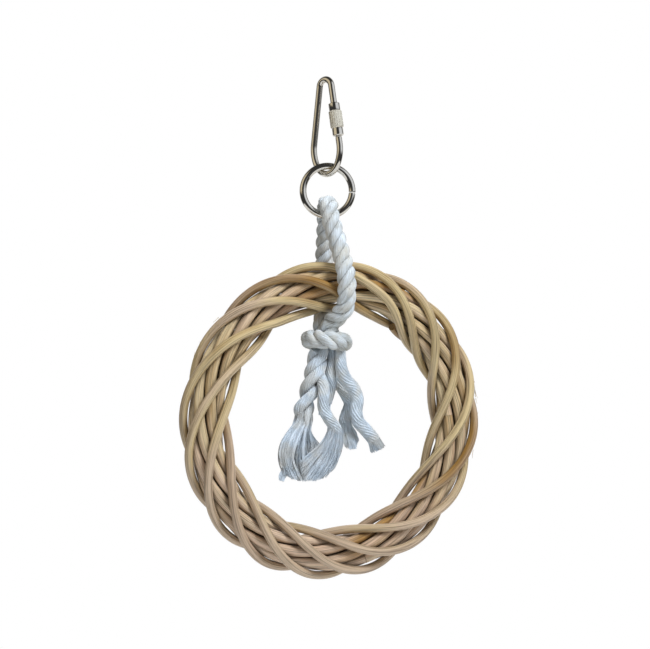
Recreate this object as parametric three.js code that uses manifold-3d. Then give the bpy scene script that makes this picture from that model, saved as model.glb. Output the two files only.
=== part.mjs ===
// Hanging bird toy: a ring wound from rattan cane, in a loop of knotted cotton rope,
// hung from a round steel ring and a pear-shaped quick link.
// Millimetres, +Z up. The origin is inside the crown of the quick link, where a hook carries the toy.
// The rattan ring lies in the XZ plane, with its front towards -Y.

import * as THREE from 'three';
import { mergeVertices } from 'three/addons/utils/BufferGeometryUtils.js';
import Module from 'manifold-3d';

const wasm = await Module();
wasm.setup();

// Quick link: bent wire with a mouth in one leg
const LINK_WIRE = 3;
const LINK_LENGTH = 45.5;
const LINK_CROWN_RADIUS = 3.5;
const LINK_SHOULDER_RADIUS = 15.4;
const LINK_BOW_RADIUS = 6.5;
const LINK_BOW_HALF_ANGLE = 60;
const LINK_YAW_ANGLE = -62;
const LINK_MOUTH = 5.5;

// Sleeve nut that bridges the mouth
const SLEEVE_LENGTH = 15;
const SLEEVE_GRIP_DIAMETER = 5.9;
const SLEEVE_COLLAR_DIAMETER = 5.1;
const SLEEVE_COLLAR_LENGTH = 3.6;
const SLEEVE_CHAMFER = 0.5;
const SLEEVE_FLUTES = 18;
const SLEEVE_FLUTE_DEPTH = 0.35;
const SLEEVE_BELOW_CROWN = 8.1;
const SLEEVE_HOLD = 3.7;
const SLEEVE_CLEARANCE = 0.3;

// Steel ring of round wire, butted at one side
const RING_DIAMETER = 25.5;
const RING_WIRE = 3.2;
const RING_YAW_ANGLE = -14;
const RING_BUTT_ANGLE = -5;
const RING_BUTT_GAP = 0.5;
const RING_NEST_GAP = 0.4;

// Rattan ring: core hoop, inner canes and an outer winding of the opposite hand
const CANE_DIAMETER = 3.9;
const HOOP_RADIUS = 60;
const HOOP_OVAL = 0.8;
const HOOP_OVAL_ANGLE = 45;
const OUTER_PASSES = 5;
const OUTER_TURNS = 16;
const OUTER_PHASE_ANGLE = 19;
const OUTER_SWAY = [{ depth: 20, times: 1, peak: 151 }, { depth: 12, times: 2, peak: -76 }];
const OUTER_CUT_ANGLES = [54, 813, 1488];
const OUTER_OVERLAP_ANGLE = 36;
const OUTER_LEAD_ANGLE = 32;
const OUTER_EASE_FROM_ANGLE = 4;
const OUTER_EASE_ANGLE = 28;
const OUTER_BOW = 0.5;
const INNER_PASSES = 6;
const INNER_TURNS = -13;
const INNER_PHASE_ANGLE = 40;
const INNER_STAGGER_ANGLE = 90;
const INNER_SLACK = 1.5;
const CORE_GAP = 0.5;
const CORE_BUTT_ANGLE = 200;
const LAYER_GAP = 0.45;
const CANE_BUTT_GAP = 1;

// Rope: a loop over the steel ring and round the rattan ring, and a knot
const ROPE_DIAMETER = 8.6;
const ROPE_PINCHED_HEIGHT = 6.8;
const ROPE_PINCHED_WIDTH = 10.2;
const ROPE_ON_WIRE_GAP = 0.5;
const ROPE_ON_CANE_GAP = 0.6;
const ROPE_TO_KNOT_GAP = 0.6;
const ROPE_ON_WIRE_ANGLES = [30, 60, 90];
const ROPE_ON_CANE_ANGLES = [40, 15, -10, -35, -55];
const RIM_BELOW_RING = 20.1;
const RIM_CROSSING_X = 2.2;
const KNOT_BELOW_RIM = 7.4;
const KNOT_X = -1.9;
const KNOT_TURN_X = 7.3;
const KNOT_TURN_Y = 9;
const KNOT_TURN_FROM_ANGLE = 120;
const KNOT_TURN_SWEEP_ANGLE = 420;
const KNOT_TUCK_SHARE = 0.14;
const KNOT_TUCK_DEPTH = 0.35;
const KNOT_CORE_X = 6;
const KNOT_CORE_Y = 9.3;
const KNOT_CLIMB = 0.9;
const KNOT_SLANT = 1.2;
const KNOT_CORE_ROUND = 1.2;

// Loose strands of the two rope ends. All points are from the middle of the knot's underside.
// One end keeps its lay for a while: its strands wind round a line, c leaves first, then a and b part.
const STRAND_DIAMETER = 4.7;
const LAID_STRAND_DIAMETER = 3.5;
const LAID_FOR = 14;
const FULL_FROM = 24;
const LAID_LINE = [[-4.6, -1, -1.8], [-5.3, -1, -4.4], [-5.9, -1, -7], [-6.4, -1, -9.6], [-7.1, -1, -12.2],
  [-8.1, -0.8, -15.2], [-9.3, -0.6, -18.4], [-10.6, -0.6, -21.6], [-11.7, -0.8, -24.8],
  [-12.4, -1, -28.2]];
const LAID_RADIUS = 3;
const LAID_PITCH = 20.6;
const LAID_FROM_ANGLE = 45;
const TRIO_ANGLE = 120;
const PAIR_ANGLE = 180;
const PAIR_EASE_FROM = 7.2;
const PAIR_EASE_TO = 19.2;
const C_LAID_POINTS = 4;
const STRAND_A_END = [[-16.2, 0.6, -32.4], [-18.6, -1.4, -37], [-20.8, -2.8, -42], [-22, -3.4, -47.6],
  [-22.6, -3, -54]];
const STRAND_B_END = [[-11.8, -3.6, -32], [-12.8, -3.2, -36.5], [-13.3, -2.6, -42], [-13.2, -2, -48.5],
  [-13.4, -1, -56]];
const STRAND_C_END = [[-4, -3.6, -13], [-4.4, -6.7, -16.2], [-5.1, -7.9, -20], [-5.1, -7.7, -24.6],
  [-2.4, -7, -29.5], [0.8, -6.6, -34], [2, -5.9, -39], [-0.2, -5, -44.4], [-2.8, -4, -49.6],
  [-4.4, -3, -54.6]];

// The other end is open from the knot on
const STRAND_D = [[2.9, 0.5, -0.5], [2.5, 0.1, -3.6], [1.7, -0.6, -7], [1.3, -0.8, -10.6], [1.8, -0.2, -14.4],
  [1, 1.4, -19.3], [-0.4, 2, -24], [-0.9, 2.2, -28.5]];
const STRAND_E = [[4.8, -4.6, -0.5], [4.7, -4.9, -4], [5, -5.1, -8], [7.2, -4.8, -12.6], [10.8, -4.2, -16.4],
  [12.7, -4, -21.4], [12, -4, -26.6], [13, -4, -31.4], [16.6, -4, -35.4], [20.2, -4, -39.7],
  [22.4, -4, -44.4]];
const STRAND_F = [[6.4, 4.6, -0.5], [6.9, 5, -4], [7.6, 5.4, -10], [8.4, 5, -15.2], [10.6, 4.2, -19.6],
  [12, 3.4, -23.6], [9.8, 3.2, -29.6], [8.9, 3, -33.6], [10.6, 3, -42]];
const FRAY_LENGTH = 22;
const FRAY_DIAMETER = { a: 8.2, b: 7.8, c: 7.2, d: 5.6, e: 6.4, f: 6.4 };
const FRAY_SWELLS_OVER = 0.8;
const FRAY_TIP_TAPER = 0.35;

// Steps along and sides around the round pieces
const LINK_CROWN_STEPS = 16;
const LINK_SHOULDER_STEPS = 6;
const LINK_BOW_STEPS = 12;
const RING_STEPS = 48;
const ROPE_STEPS = 48;
const KNOT_STEPS = 34;
const STRAND_STEPS = 28;
const CORE_STEPS = 40;
const OUTER_STEPS_PER_LOOP = 52;
const INNER_STEPS_PER_LOOP = 33;
const WIRE_SIDES = 14;
const ROPE_SIDES = 10;
const STRAND_SIDES = 8;
const CANE_SIDES = 7;
const INNER_SIDES = 6;
const SLEEVE_SIDES = 28;
const BORE_SIDES = 20;
const KNOT_SIDES = 24;

const LEVELS = linkAndRopeLevels();
const RIM = rimSizes();

// Materials as they look in daylight
const FINISH = {
  nickel: { color: 0xb9b7b3, roughness: 0.3, metalness: 1 },
  cotton: { color: 0xdcdad3, roughness: 0.95, metalness: 0 },
  outerCane: { color: 0xb59a6c, roughness: 0.6, metalness: 0 },
  innerCane: { color: 0xc7ab8a, roughness: 0.7, metalness: 0 },
  coreCane: { color: 0x9c8058, roughness: 0.75, metalness: 0 },
};

function radians(degrees) {
  return THREE.MathUtils.degToRad(degrees);
}

// Sizes of the rattan tube, worked out from the cane and the gaps between its layers
function rimSizes() {
  const innerDepth = CANE_DIAMETER + CORE_GAP;
  const innerReach = CANE_DIAMETER + INNER_SLACK;
  const outerDepth = innerDepth + CANE_DIAMETER + LAYER_GAP;
  const outerReach = innerReach + CANE_DIAMETER + OUTER_BOW;
  return {
    innerDepth,
    innerReach,
    outerDepth,
    outerReach,
    halfDepth: outerDepth + CANE_DIAMETER / 2,
    halfHeight: outerReach + CANE_DIAMETER / 2,
  };
}

// Heights of the parts down the line that the toy hangs on
function linkAndRopeLevels() {
  const rim = rimSizes();
  const linkBow = LINK_WIRE / 2 - (LINK_LENGTH - LINK_WIRE);
  const ringRadius = (RING_DIAMETER - RING_WIRE) / 2;
  const ringTop = linkBow + (LINK_WIRE + RING_WIRE) / 2 + RING_NEST_GAP;
  const ringCentre = ringTop - ringRadius;
  const ringBottom = ringCentre - ringRadius;
  const rimMiddle = ringBottom - RIM_BELOW_RING - rim.halfHeight;
  const hoopCentre = rimMiddle - HOOP_RADIUS;
  const knotTop = rimMiddle - rim.halfHeight - KNOT_BELOW_RIM;
  const knotHalfHeight = ROPE_DIAMETER / 2 + KNOT_CLIMB;
  const knotCentre = knotTop - knotHalfHeight;
  const knotBottom = knotCentre - knotHalfHeight;
  return {
    linkBow,
    ringRadius,
    ringCentre,
    ringBottom,
    rimMiddle,
    hoopCentre,
    knotTop,
    knotCentre,
    knotBottom,
  };
}

// A circular arc in the XZ plane
class Arc extends THREE.Curve {
  constructor(centre, radius, fromDegrees, toDegrees) {
    super();
    this.centre = centre;
    this.radius = radius;
    this.from = radians(fromDegrees);
    this.to = radians(toDegrees);
  }

  getPoint(t, target = new THREE.Vector3()) {
    const angle = this.from + (this.to - this.from) * t;
    target.set(this.radius * Math.cos(angle), 0, this.radius * Math.sin(angle));
    return target.add(this.centre);
  }
}

function roundSection(diameter, sides) {
  const section = new THREE.Shape();
  for (let side = 0; side < sides; side += 1) {
    const angle = (2 * Math.PI * side) / sides;
    const x = (diameter / 2) * Math.cos(angle);
    const y = (diameter / 2) * Math.sin(angle);
    if (side === 0) section.moveTo(x, y);
    else section.lineTo(x, y);
  }
  section.closePath();
  return section;
}

function roundBar(path, diameter, steps, sides) {
  const options = { steps, extrudePath: path, bevelEnabled: false };
  return new THREE.ExtrudeGeometry(roundSection(diameter, sides), options);
}

// A closed tube through points, with its own radius at each point and flat ends; widths make it oval
function tubeThrough(points, radii, sides, widths = radii) {
  const positions = [];
  const triangles = [];
  const last = points.length - 1;
  const tangents = points.map((point, i) => {
    const before = points[Math.max(i - 1, 0)];
    const after = points[Math.min(i + 1, last)];
    return after.clone().sub(before).normalize();
  });
  const normal = new THREE.Vector3(0, 1, 0).cross(tangents[0]);
  if (normal.lengthSq() < 0.01) normal.set(1, 0, 0).cross(tangents[0]);
  normal.normalize();
  points.forEach((point, i) => {
    normal.addScaledVector(tangents[i], -normal.dot(tangents[i])).normalize();
    const side = tangents[i].clone().cross(normal);
    for (let k = 0; k < sides; k += 1) {
      const angle = (2 * Math.PI * k) / sides;
      const corner = point.clone();
      corner.addScaledVector(normal, widths[i] * Math.cos(angle));
      corner.addScaledVector(side, radii[i] * Math.sin(angle));
      positions.push(corner.x, corner.y, corner.z);
    }
  });
  for (let i = 0; i < last; i += 1) {
    for (let k = 0; k < sides; k += 1) {
      const a = i * sides + k;
      const b = i * sides + ((k + 1) % sides);
      triangles.push(a, b, a + sides, b, b + sides, a + sides);
    }
  }
  for (let k = 1; k < sides - 1; k += 1) {
    triangles.push(0, k + 1, k);
    triangles.push(last * sides, last * sides + k, last * sides + k + 1);
  }
  const geometry = new THREE.BufferGeometry();
  geometry.setAttribute('position', new THREE.Float32BufferAttribute(positions, 3));
  geometry.setIndex(triangles);
  geometry.computeVertexNormals();
  return geometry;
}

function solidOf(geometry) {
  const bare = geometry.clone();
  bare.deleteAttribute('normal');
  bare.deleteAttribute('uv');
  const merged = mergeVertices(bare, 1e-4);
  return new wasm.Manifold(new wasm.Mesh({
    numProp: 3,
    vertProperties: Float32Array.from(merged.attributes.position.array),
    triVerts: Uint32Array.from(merged.index.array),
  }));
}

function geometryOf(solid) {
  const mesh = solid.getMesh();
  const geometry = new THREE.BufferGeometry();
  geometry.setAttribute('position', new THREE.Float32BufferAttribute(mesh.vertProperties, 3));
  geometry.setIndex(Array.from(mesh.triVerts));
  geometry.computeVertexNormals();
  return geometry;
}

function piece(name, geometry, finish) {
  const mesh = new THREE.Mesh(geometry, new THREE.MeshStandardMaterial(finish));
  mesh.name = name;
  return mesh;
}

// The link's legs are the outer tangents of its crown and of two wide shoulder arcs, which the bow joins
function linkLegs() {
  const wider = LINK_SHOULDER_RADIUS - LINK_BOW_RADIUS;
  const meeting = radians(LINK_BOW_HALF_ANGLE);
  const crown = new THREE.Vector3(0, 0, LINK_WIRE / 2 - LINK_CROWN_RADIUS);
  const bow = new THREE.Vector3(0, 0, LEVELS.linkBow + LINK_BOW_RADIUS);
  const shoulder = new THREE.Vector3(-wider * Math.sin(meeting), 0, bow.z + wider * Math.cos(meeting));
  const apart = crown.clone().sub(shoulder);
  const turn = Math.acos((LINK_SHOULDER_RADIUS - LINK_CROWN_RADIUS) / apart.length());
  const lean = Math.atan2(apart.z, apart.x) - turn;
  const outward = new THREE.Vector3(Math.cos(lean), 0, Math.sin(lean));
  const top = crown.clone().addScaledVector(outward, LINK_CROWN_RADIUS);
  const bottom = shoulder.clone().addScaledVector(outward, LINK_SHOULDER_RADIUS);
  return { crown, shoulder, bow, lean, top, down: bottom.sub(top).normalize() };
}

// The wire runs from the mouth up over the crown, down the whole leg, round the bow and up to the mouth
function quickLinkBody() {
  const { crown, shoulder, bow, lean, top, down } = linkLegs();
  const leaning = THREE.MathUtils.radToDeg(lean);
  const meeting = 90 - LINK_BOW_HALF_ANGLE;
  const mouthBottom = SLEEVE_BELOW_CROWN + SLEEVE_LENGTH - SLEEVE_HOLD;
  const mouthTop = mouthBottom - LINK_MOUTH;
  const farShoulder = new THREE.Vector3(-shoulder.x, 0, shoulder.z);
  const overCrown = new Arc(crown, LINK_CROWN_RADIUS, leaning, 180 - leaning);
  const downShoulder = new Arc(farShoulder, LINK_SHOULDER_RADIUS, 180 - leaning, 180 + meeting);
  const roundBow = new Arc(bow, LINK_BOW_RADIUS, 180 + meeting, 360 - meeting);
  const upShoulder = new Arc(shoulder, LINK_SHOULDER_RADIUS, 360 - meeting, 360 + leaning);
  const points = [
    top.clone().addScaledVector(down, mouthTop),
    ...overCrown.getPoints(LINK_CROWN_STEPS),
    ...downShoulder.getPoints(LINK_SHOULDER_STEPS),
    ...roundBow.getPoints(LINK_BOW_STEPS).slice(1),
    ...upShoulder.getPoints(LINK_SHOULDER_STEPS).slice(1),
    top.clone().addScaledVector(down, mouthBottom),
  ];
  return tubeThrough(points, points.map(() => LINK_WIRE / 2), WIRE_SIDES);
}

function flutedSection() {
  const section = new THREE.Shape();
  const count = SLEEVE_FLUTES * 2;
  for (let corner = 0; corner < count; corner += 1) {
    const angle = (2 * Math.PI * corner) / count;
    const radius = SLEEVE_GRIP_DIAMETER / 2 - (corner % 2) * SLEEVE_FLUTE_DEPTH;
    const x = radius * Math.cos(angle);
    const y = radius * Math.sin(angle);
    if (corner === 0) section.moveTo(x, y);
    else section.lineTo(x, y);
  }
  section.closePath();
  return section;
}

// The sleeve stands on its own axis, with its middle at the origin
function quickLinkSleeve() {
  const collar = SLEEVE_COLLAR_DIAMETER / 2;
  const half = SLEEVE_LENGTH / 2;
  const bore = LINK_WIRE / 2 + SLEEVE_CLEARANCE;
  const profile = [[0, -half], [collar - SLEEVE_CHAMFER, -half], [collar, -half + SLEEVE_CHAMFER],
    [collar, half - SLEEVE_CHAMFER], [collar - SLEEVE_CHAMFER, half], [0, half]];
  const collars = new THREE.LatheGeometry(profile.map(([x, y]) => new THREE.Vector2(x, y)), SLEEVE_SIDES);
  collars.rotateX(Math.PI / 2);
  const gripLength = SLEEVE_LENGTH - 2 * SLEEVE_COLLAR_LENGTH;
  const grip = new THREE.ExtrudeGeometry(flutedSection(), { depth: gripLength, bevelEnabled: false });
  grip.translate(0, 0, -gripLength / 2);
  const hole = new THREE.CylinderGeometry(bore, bore, SLEEVE_LENGTH + LINK_WIRE, BORE_SIDES);
  hole.rotateX(Math.PI / 2);
  return geometryOf(solidOf(collars).add(solidOf(grip)).subtract(solidOf(hole)));
}

function quickLink() {
  const link = new THREE.Group();
  const { lean, top, down } = linkLegs();
  const sleeve = piece('quick_link_sleeve', quickLinkSleeve(), FINISH.nickel);
  sleeve.position.copy(top).addScaledVector(down, SLEEVE_BELOW_CROWN + SLEEVE_LENGTH / 2);
  sleeve.rotation.y = -lean;
  link.add(piece('quick_link_body', quickLinkBody(), FINISH.nickel), sleeve);
  link.rotation.z = radians(LINK_YAW_ANGLE);
  return link;
}

function steelRing() {
  const ring = new THREE.Group();
  const halfGap = THREE.MathUtils.radToDeg(RING_BUTT_GAP / 2 / LEVELS.ringRadius);
  const from = RING_BUTT_ANGLE + halfGap;
  const to = RING_BUTT_ANGLE + 360 - halfGap;
  const path = new Arc(new THREE.Vector3(0, 0, LEVELS.ringCentre), LEVELS.ringRadius, from, to);
  ring.add(piece('steel_ring', roundBar(path, RING_WIRE, RING_STEPS, WIRE_SIDES), FINISH.nickel));
  ring.rotation.z = radians(RING_YAW_ANGLE);
  return ring;
}

// The rope is pinched flat where it bends over the wire, and round again a quarter turn further on
function ropeRadius(pinched, quarterTurns) {
  const eased = THREE.MathUtils.smoothstep(quarterTurns, 0, 1);
  return THREE.MathUtils.lerp(pinched, ROPE_DIAMETER, eased) / 2;
}

function ropeFromWire(quarterTurns) {
  return RING_WIRE / 2 + ROPE_ON_WIRE_GAP + ropeRadius(ROPE_PINCHED_HEIGHT, quarterTurns);
}

// One leg of the rope loop, from beside the steel ring's wire down to the knot's top; side is -1 in front
function ropeLeg(side) {
  const yaw = radians(RING_YAW_ANGLE);
  const acrossWire = new THREE.Vector3(-Math.sin(yaw), Math.cos(yaw), 0);
  const aroundY = RIM.halfDepth + ROPE_ON_CANE_GAP + ROPE_DIAMETER / 2;
  const aroundZ = RIM.halfHeight + ROPE_ON_CANE_GAP + ROPE_DIAMETER / 2;
  const legSpread = ROPE_DIAMETER / 2 + ROPE_TO_KNOT_GAP;
  const legEnd = LEVELS.knotTop + ROPE_TO_KNOT_GAP;
  const points = ROPE_ON_WIRE_ANGLES.map((degrees) => {
    const bight = ropeFromWire(degrees / 90);
    const point = new THREE.Vector3(0, 0, LEVELS.ringBottom + bight * Math.cos(radians(degrees)));
    return point.addScaledVector(acrossWire, side * bight * Math.sin(radians(degrees)));
  });
  for (const degrees of ROPE_ON_CANE_ANGLES) {
    const y = side * aroundY * Math.cos(radians(degrees));
    const z = LEVELS.rimMiddle + aroundZ * Math.sin(radians(degrees));
    points.push(new THREE.Vector3(RIM_CROSSING_X, y, z));
  }
  points[points.length - 1].x = (RIM_CROSSING_X + KNOT_X) / 2;
  points.push(new THREE.Vector3(KNOT_X, side * legSpread, legEnd + ROPE_DIAMETER / 4));
  points.push(new THREE.Vector3(KNOT_X, side * legSpread, legEnd));
  return points;
}

function ropeLoop() {
  const crown = new THREE.Vector3(0, 0, LEVELS.ringBottom + ropeFromWire(0));
  const route = [...ropeLeg(-1).reverse(), crown, ...ropeLeg(1)];
  const path = new THREE.CatmullRomCurve3(route, false, 'centripetal');
  const quarterTurn = (Math.PI / 2) * ropeFromWire(1);
  const stepLength = path.getLength() / ROPE_STEPS;
  const points = path.getSpacedPoints(ROPE_STEPS);
  const turns = points.map((point, i) => (Math.abs(i - ROPE_STEPS / 2) * stepLength) / quarterTurn);
  const heights = turns.map((turn) => ropeRadius(ROPE_PINCHED_HEIGHT, turn));
  const widths = turns.map((turn) => ropeRadius(ROPE_PINCHED_WIDTH, turn));
  return tubeThrough(points, heights, ROPE_SIDES, widths);
}

// The knot: one slanting turn of the rope round the two legs, its ends tucked into them
class KnotTurn extends THREE.Curve {
  getPoint(t, target = new THREE.Vector3()) {
    const angle = radians(KNOT_TURN_FROM_ANGLE - KNOT_TURN_SWEEP_ANGLE * t);
    const fromMiddle = 2 * t - 1;
    const tuck = Math.max(0, Math.abs(fromMiddle) - (1 - KNOT_TUCK_SHARE)) / KNOT_TUCK_SHARE;
    const reach = 1 - KNOT_TUCK_DEPTH * tuck;
    return target.set(
      KNOT_X + KNOT_TURN_X * reach * Math.cos(angle),
      KNOT_TURN_Y * reach * Math.sin(angle),
      LEVELS.knotCentre - KNOT_CLIMB * fromMiddle - KNOT_SLANT * Math.cos(angle),
    );
  }
}

function ropeKnot() {
  const half = ROPE_DIAMETER / 2 + KNOT_CLIMB;
  const profile = [[0, -half], [KNOT_CORE_X - KNOT_CORE_ROUND, -half], [KNOT_CORE_X, -half + KNOT_CORE_ROUND],
    [KNOT_CORE_X, half - KNOT_CORE_ROUND], [KNOT_CORE_X - KNOT_CORE_ROUND, half], [0, half]];
  const legs = new THREE.LatheGeometry(profile.map(([x, y]) => new THREE.Vector2(x, y)), KNOT_SIDES);
  legs.rotateX(Math.PI / 2);
  legs.scale(1, KNOT_CORE_Y / KNOT_CORE_X, 1);
  legs.translate(KNOT_X, 0, LEVELS.knotCentre);
  const turn = roundBar(new KnotTurn(), ROPE_DIAMETER, KNOT_STEPS, ROPE_SIDES);
  return geometryOf(solidOf(legs).add(solidOf(turn)));
}

function onKnot([x, y, z]) {
  return new THREE.Vector3(KNOT_X + x, y, LEVELS.knotBottom + z);
}

// A strand of the laid end winds round its line, at its own angle from strand b, then goes its own way
function laidRoute(trioAngle, pairAngle, count, ending) {
  const points = LAID_LINE.slice(0, count).map((place) => {
    const depth = LAID_LINE[0][2] - place[2];
    const parted = THREE.MathUtils.smoothstep(depth, PAIR_EASE_FROM, PAIR_EASE_TO);
    const turned = LAID_FROM_ANGLE - (360 * depth) / LAID_PITCH;
    const angle = radians(turned + trioAngle + (pairAngle - trioAngle) * parted);
    const point = onKnot(place);
    point.x += LAID_RADIUS * Math.cos(angle);
    point.y += LAID_RADIUS * Math.sin(angle);
    return point;
  });
  return [...points, ...ending.map(onKnot)];
}

// A strand thickens where it leaves the lay, and swells where its end is frayed
function looseStrand(route, laidDiameter, frayDiameter) {
  const curve = new THREE.CatmullRomCurve3(route, false, 'centripetal');
  const length = curve.getLength();
  const points = curve.getSpacedPoints(STRAND_STEPS);
  const radii = points.map((point, i) => {
    const fromStart = (length * i) / STRAND_STEPS;
    const free = THREE.MathUtils.clamp((fromStart - LAID_FOR) / (FULL_FROM - LAID_FOR), 0, 1);
    const plain = laidDiameter + (STRAND_DIAMETER - laidDiameter) * free;
    const frayed = Math.max(0, 1 - (length - fromStart) / FRAY_LENGTH);
    const swell = Math.sin(Math.min(1, frayed / FRAY_SWELLS_OVER) * Math.PI / 2) ** 2;
    const tip = 1 - FRAY_TIP_TAPER * Math.max(0, frayed - FRAY_SWELLS_OVER) / (1 - FRAY_SWELLS_OVER);
    return ((plain + (frayDiameter - plain) * swell) / 2) * tip;
  });
  return tubeThrough(points, radii, STRAND_SIDES);
}

function looseStrands() {
  const whole = LAID_LINE.length;
  const laid = {
    a: laidRoute(-TRIO_ANGLE, -PAIR_ANGLE, whole, STRAND_A_END),
    b: laidRoute(0, 0, whole, STRAND_B_END),
    c: laidRoute(TRIO_ANGLE, TRIO_ANGLE, C_LAID_POINTS, STRAND_C_END),
  };
  const open = { d: STRAND_D.map(onKnot), e: STRAND_E.map(onKnot), f: STRAND_F.map(onKnot) };
  const named = (routes, diameter) => Object.entries(routes).map(([letter, route]) => {
    const geometry = looseStrand(route, diameter, FRAY_DIAMETER[letter]);
    return piece(`tail_strand_${letter}`, geometry, FINISH.cotton);
  });
  return [...named(laid, LAID_STRAND_DIAMETER), ...named(open, STRAND_DIAMETER)];
}

function rope() {
  const group = new THREE.Group();
  group.add(piece('rope_loop', ropeLoop(), FINISH.cotton));
  group.add(piece('rope_knot', ropeKnot(), FINISH.cotton));
  group.add(...looseStrands());
  return group;
}

// A point on a layer of cane: angle goes round the ring, phase goes round the tube
function onTube(angle, phase, reach, depth) {
  const oval = HOOP_OVAL * Math.cos(radians(2 * (angle - HOOP_OVAL_ANGLE)));
  const fromCentre = HOOP_RADIUS + oval + reach * Math.cos(radians(phase));
  return new THREE.Vector3(
    fromCentre * Math.cos(radians(angle)),
    depth * Math.sin(radians(phase)),
    LEVELS.hoopCentre + fromCentre * Math.sin(radians(angle)),
  );
}

function outerPhase(angle) {
  const even = OUTER_PHASE_ANGLE + (OUTER_TURNS / OUTER_PASSES) * angle;
  const addSway = (phase, { depth, times, peak }) => phase + depth * Math.cos(radians(times * (angle - peak)));
  return OUTER_SWAY.reduce(addSway, even);
}

// A cane of the winding starts beside the end of the one before it, then eases into that one's track
function outerCane(start, end) {
  const from = start - OUTER_OVERLAP_ANGLE;
  const easeFrom = start + OUTER_EASE_FROM_ANGLE;
  const steps = Math.round(((end - from) / 360) * OUTER_STEPS_PER_LOOP);
  const points = [];
  for (let step = 0; step <= steps; step += 1) {
    const angle = from + ((end - from) * step) / steps;
    const ease = THREE.MathUtils.smoothstep(angle, easeFrom, easeFrom + OUTER_EASE_ANGLE);
    const phase = outerPhase(angle) + OUTER_LEAD_ANGLE * (1 - ease);
    points.push(onTube(angle, phase, RIM.outerReach, RIM.outerDepth));
  }
  return points;
}

function innerCane(index) {
  const cut = (i) => 360 * i + INNER_STAGGER_ANGLE * Math.sin((2 * Math.PI * i) / INNER_PASSES);
  const butt = THREE.MathUtils.radToDeg(CANE_BUTT_GAP / (HOOP_RADIUS - RIM.innerReach));
  const from = cut(index) + butt;
  const end = cut(index + 1);
  const steps = Math.round(((end - from) / 360) * INNER_STEPS_PER_LOOP);
  const points = [];
  for (let step = 0; step <= steps; step += 1) {
    const angle = from + ((end - from) * step) / steps;
    const phase = INNER_PHASE_ANGLE + (INNER_TURNS / INNER_PASSES) * angle;
    points.push(onTube(angle, phase, RIM.innerReach, RIM.innerDepth));
  }
  return points;
}

function coreHoop() {
  const butt = THREE.MathUtils.radToDeg(CANE_BUTT_GAP / HOOP_RADIUS);
  const points = [];
  for (let step = 0; step <= CORE_STEPS; step += 1) {
    points.push(onTube(CORE_BUTT_ANGLE + butt + ((360 - butt) * step) / CORE_STEPS, 0, 0, 0));
  }
  return points;
}

// Least gap between the turns of one cane, measured on its points.
// Neighbours along the cane are left out, and so are the two ends of a hoop that butt together.
function leastGap(points) {
  const apart = 4 * CANE_DIAMETER;
  const along = [0];
  points.forEach((point, i) => {
    if (i > 0) along.push(along[i - 1] + point.distanceTo(points[i - 1]));
  });
  const closing = points[0].distanceTo(points[points.length - 1]);
  const loop = closing < apart ? along[along.length - 1] + closing : Infinity;
  let least = Infinity;
  points.forEach((point, i) => {
    for (let j = i + 1; j < points.length; j += 1) {
      const between = Math.min(along[j] - along[i], loop - along[j] + along[i]);
      if (between > apart) least = Math.min(least, point.distanceTo(points[j]));
    }
  });
  return least - CANE_DIAMETER;
}

function cane(name, points, sides, finish) {
  const radii = points.map(() => CANE_DIAMETER / 2);
  console.log(`${name}: least gap to itself ${leastGap(points).toFixed(2)} mm`);
  return piece(name, tubeThrough(points, radii, sides), finish);
}

function rattanRing() {
  const ring = new THREE.Group();
  const windingEnd = OUTER_CUT_ANGLES[0] + 360 * OUTER_PASSES;
  OUTER_CUT_ANGLES.forEach((start, i) => {
    const end = OUTER_CUT_ANGLES[i + 1] ?? windingEnd;
    ring.add(cane(`winding_cane_${i + 1}`, outerCane(start, end), CANE_SIDES, FINISH.outerCane));
  });
  for (let i = 0; i < INNER_PASSES; i += 1) {
    ring.add(cane(`inner_cane_${i + 1}`, innerCane(i), INNER_SIDES, FINISH.innerCane));
  }
  ring.add(cane('core_hoop', coreHoop(), INNER_SIDES, FINISH.coreCane));
  return ring;
}

const toy = new THREE.Group();
toy.add(quickLink(), steelRing(), rope(), rattanRing());

export default toy;
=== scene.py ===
"""Hanging bird toy: a ring wound from rattan cane, in a knotted cotton rope loop,
hung from a steel ring and a pear-shaped quick link. Metres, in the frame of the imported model."""

import math
import random

import bpy
from mathutils import Matrix, Vector


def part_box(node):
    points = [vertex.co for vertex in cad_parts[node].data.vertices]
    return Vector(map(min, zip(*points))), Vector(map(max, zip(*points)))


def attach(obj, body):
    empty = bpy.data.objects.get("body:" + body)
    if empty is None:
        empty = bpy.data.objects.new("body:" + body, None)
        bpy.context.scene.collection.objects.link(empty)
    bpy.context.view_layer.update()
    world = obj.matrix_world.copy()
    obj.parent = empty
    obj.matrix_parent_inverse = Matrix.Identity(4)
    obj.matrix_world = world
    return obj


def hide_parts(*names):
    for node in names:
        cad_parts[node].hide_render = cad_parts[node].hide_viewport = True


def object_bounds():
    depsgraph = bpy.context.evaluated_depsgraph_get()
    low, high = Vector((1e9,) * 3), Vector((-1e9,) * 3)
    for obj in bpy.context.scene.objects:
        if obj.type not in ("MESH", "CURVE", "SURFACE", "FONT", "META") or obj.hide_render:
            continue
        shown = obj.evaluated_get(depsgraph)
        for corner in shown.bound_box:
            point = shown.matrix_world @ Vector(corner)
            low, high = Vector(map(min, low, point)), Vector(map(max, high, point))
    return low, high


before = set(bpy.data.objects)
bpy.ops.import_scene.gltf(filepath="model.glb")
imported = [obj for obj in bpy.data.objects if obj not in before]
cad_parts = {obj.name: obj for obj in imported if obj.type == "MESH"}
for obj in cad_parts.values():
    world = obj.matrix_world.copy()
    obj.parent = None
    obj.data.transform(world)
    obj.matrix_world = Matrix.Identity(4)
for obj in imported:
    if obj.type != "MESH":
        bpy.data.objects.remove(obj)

CAD_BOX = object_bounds()
MM = 0.001

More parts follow.
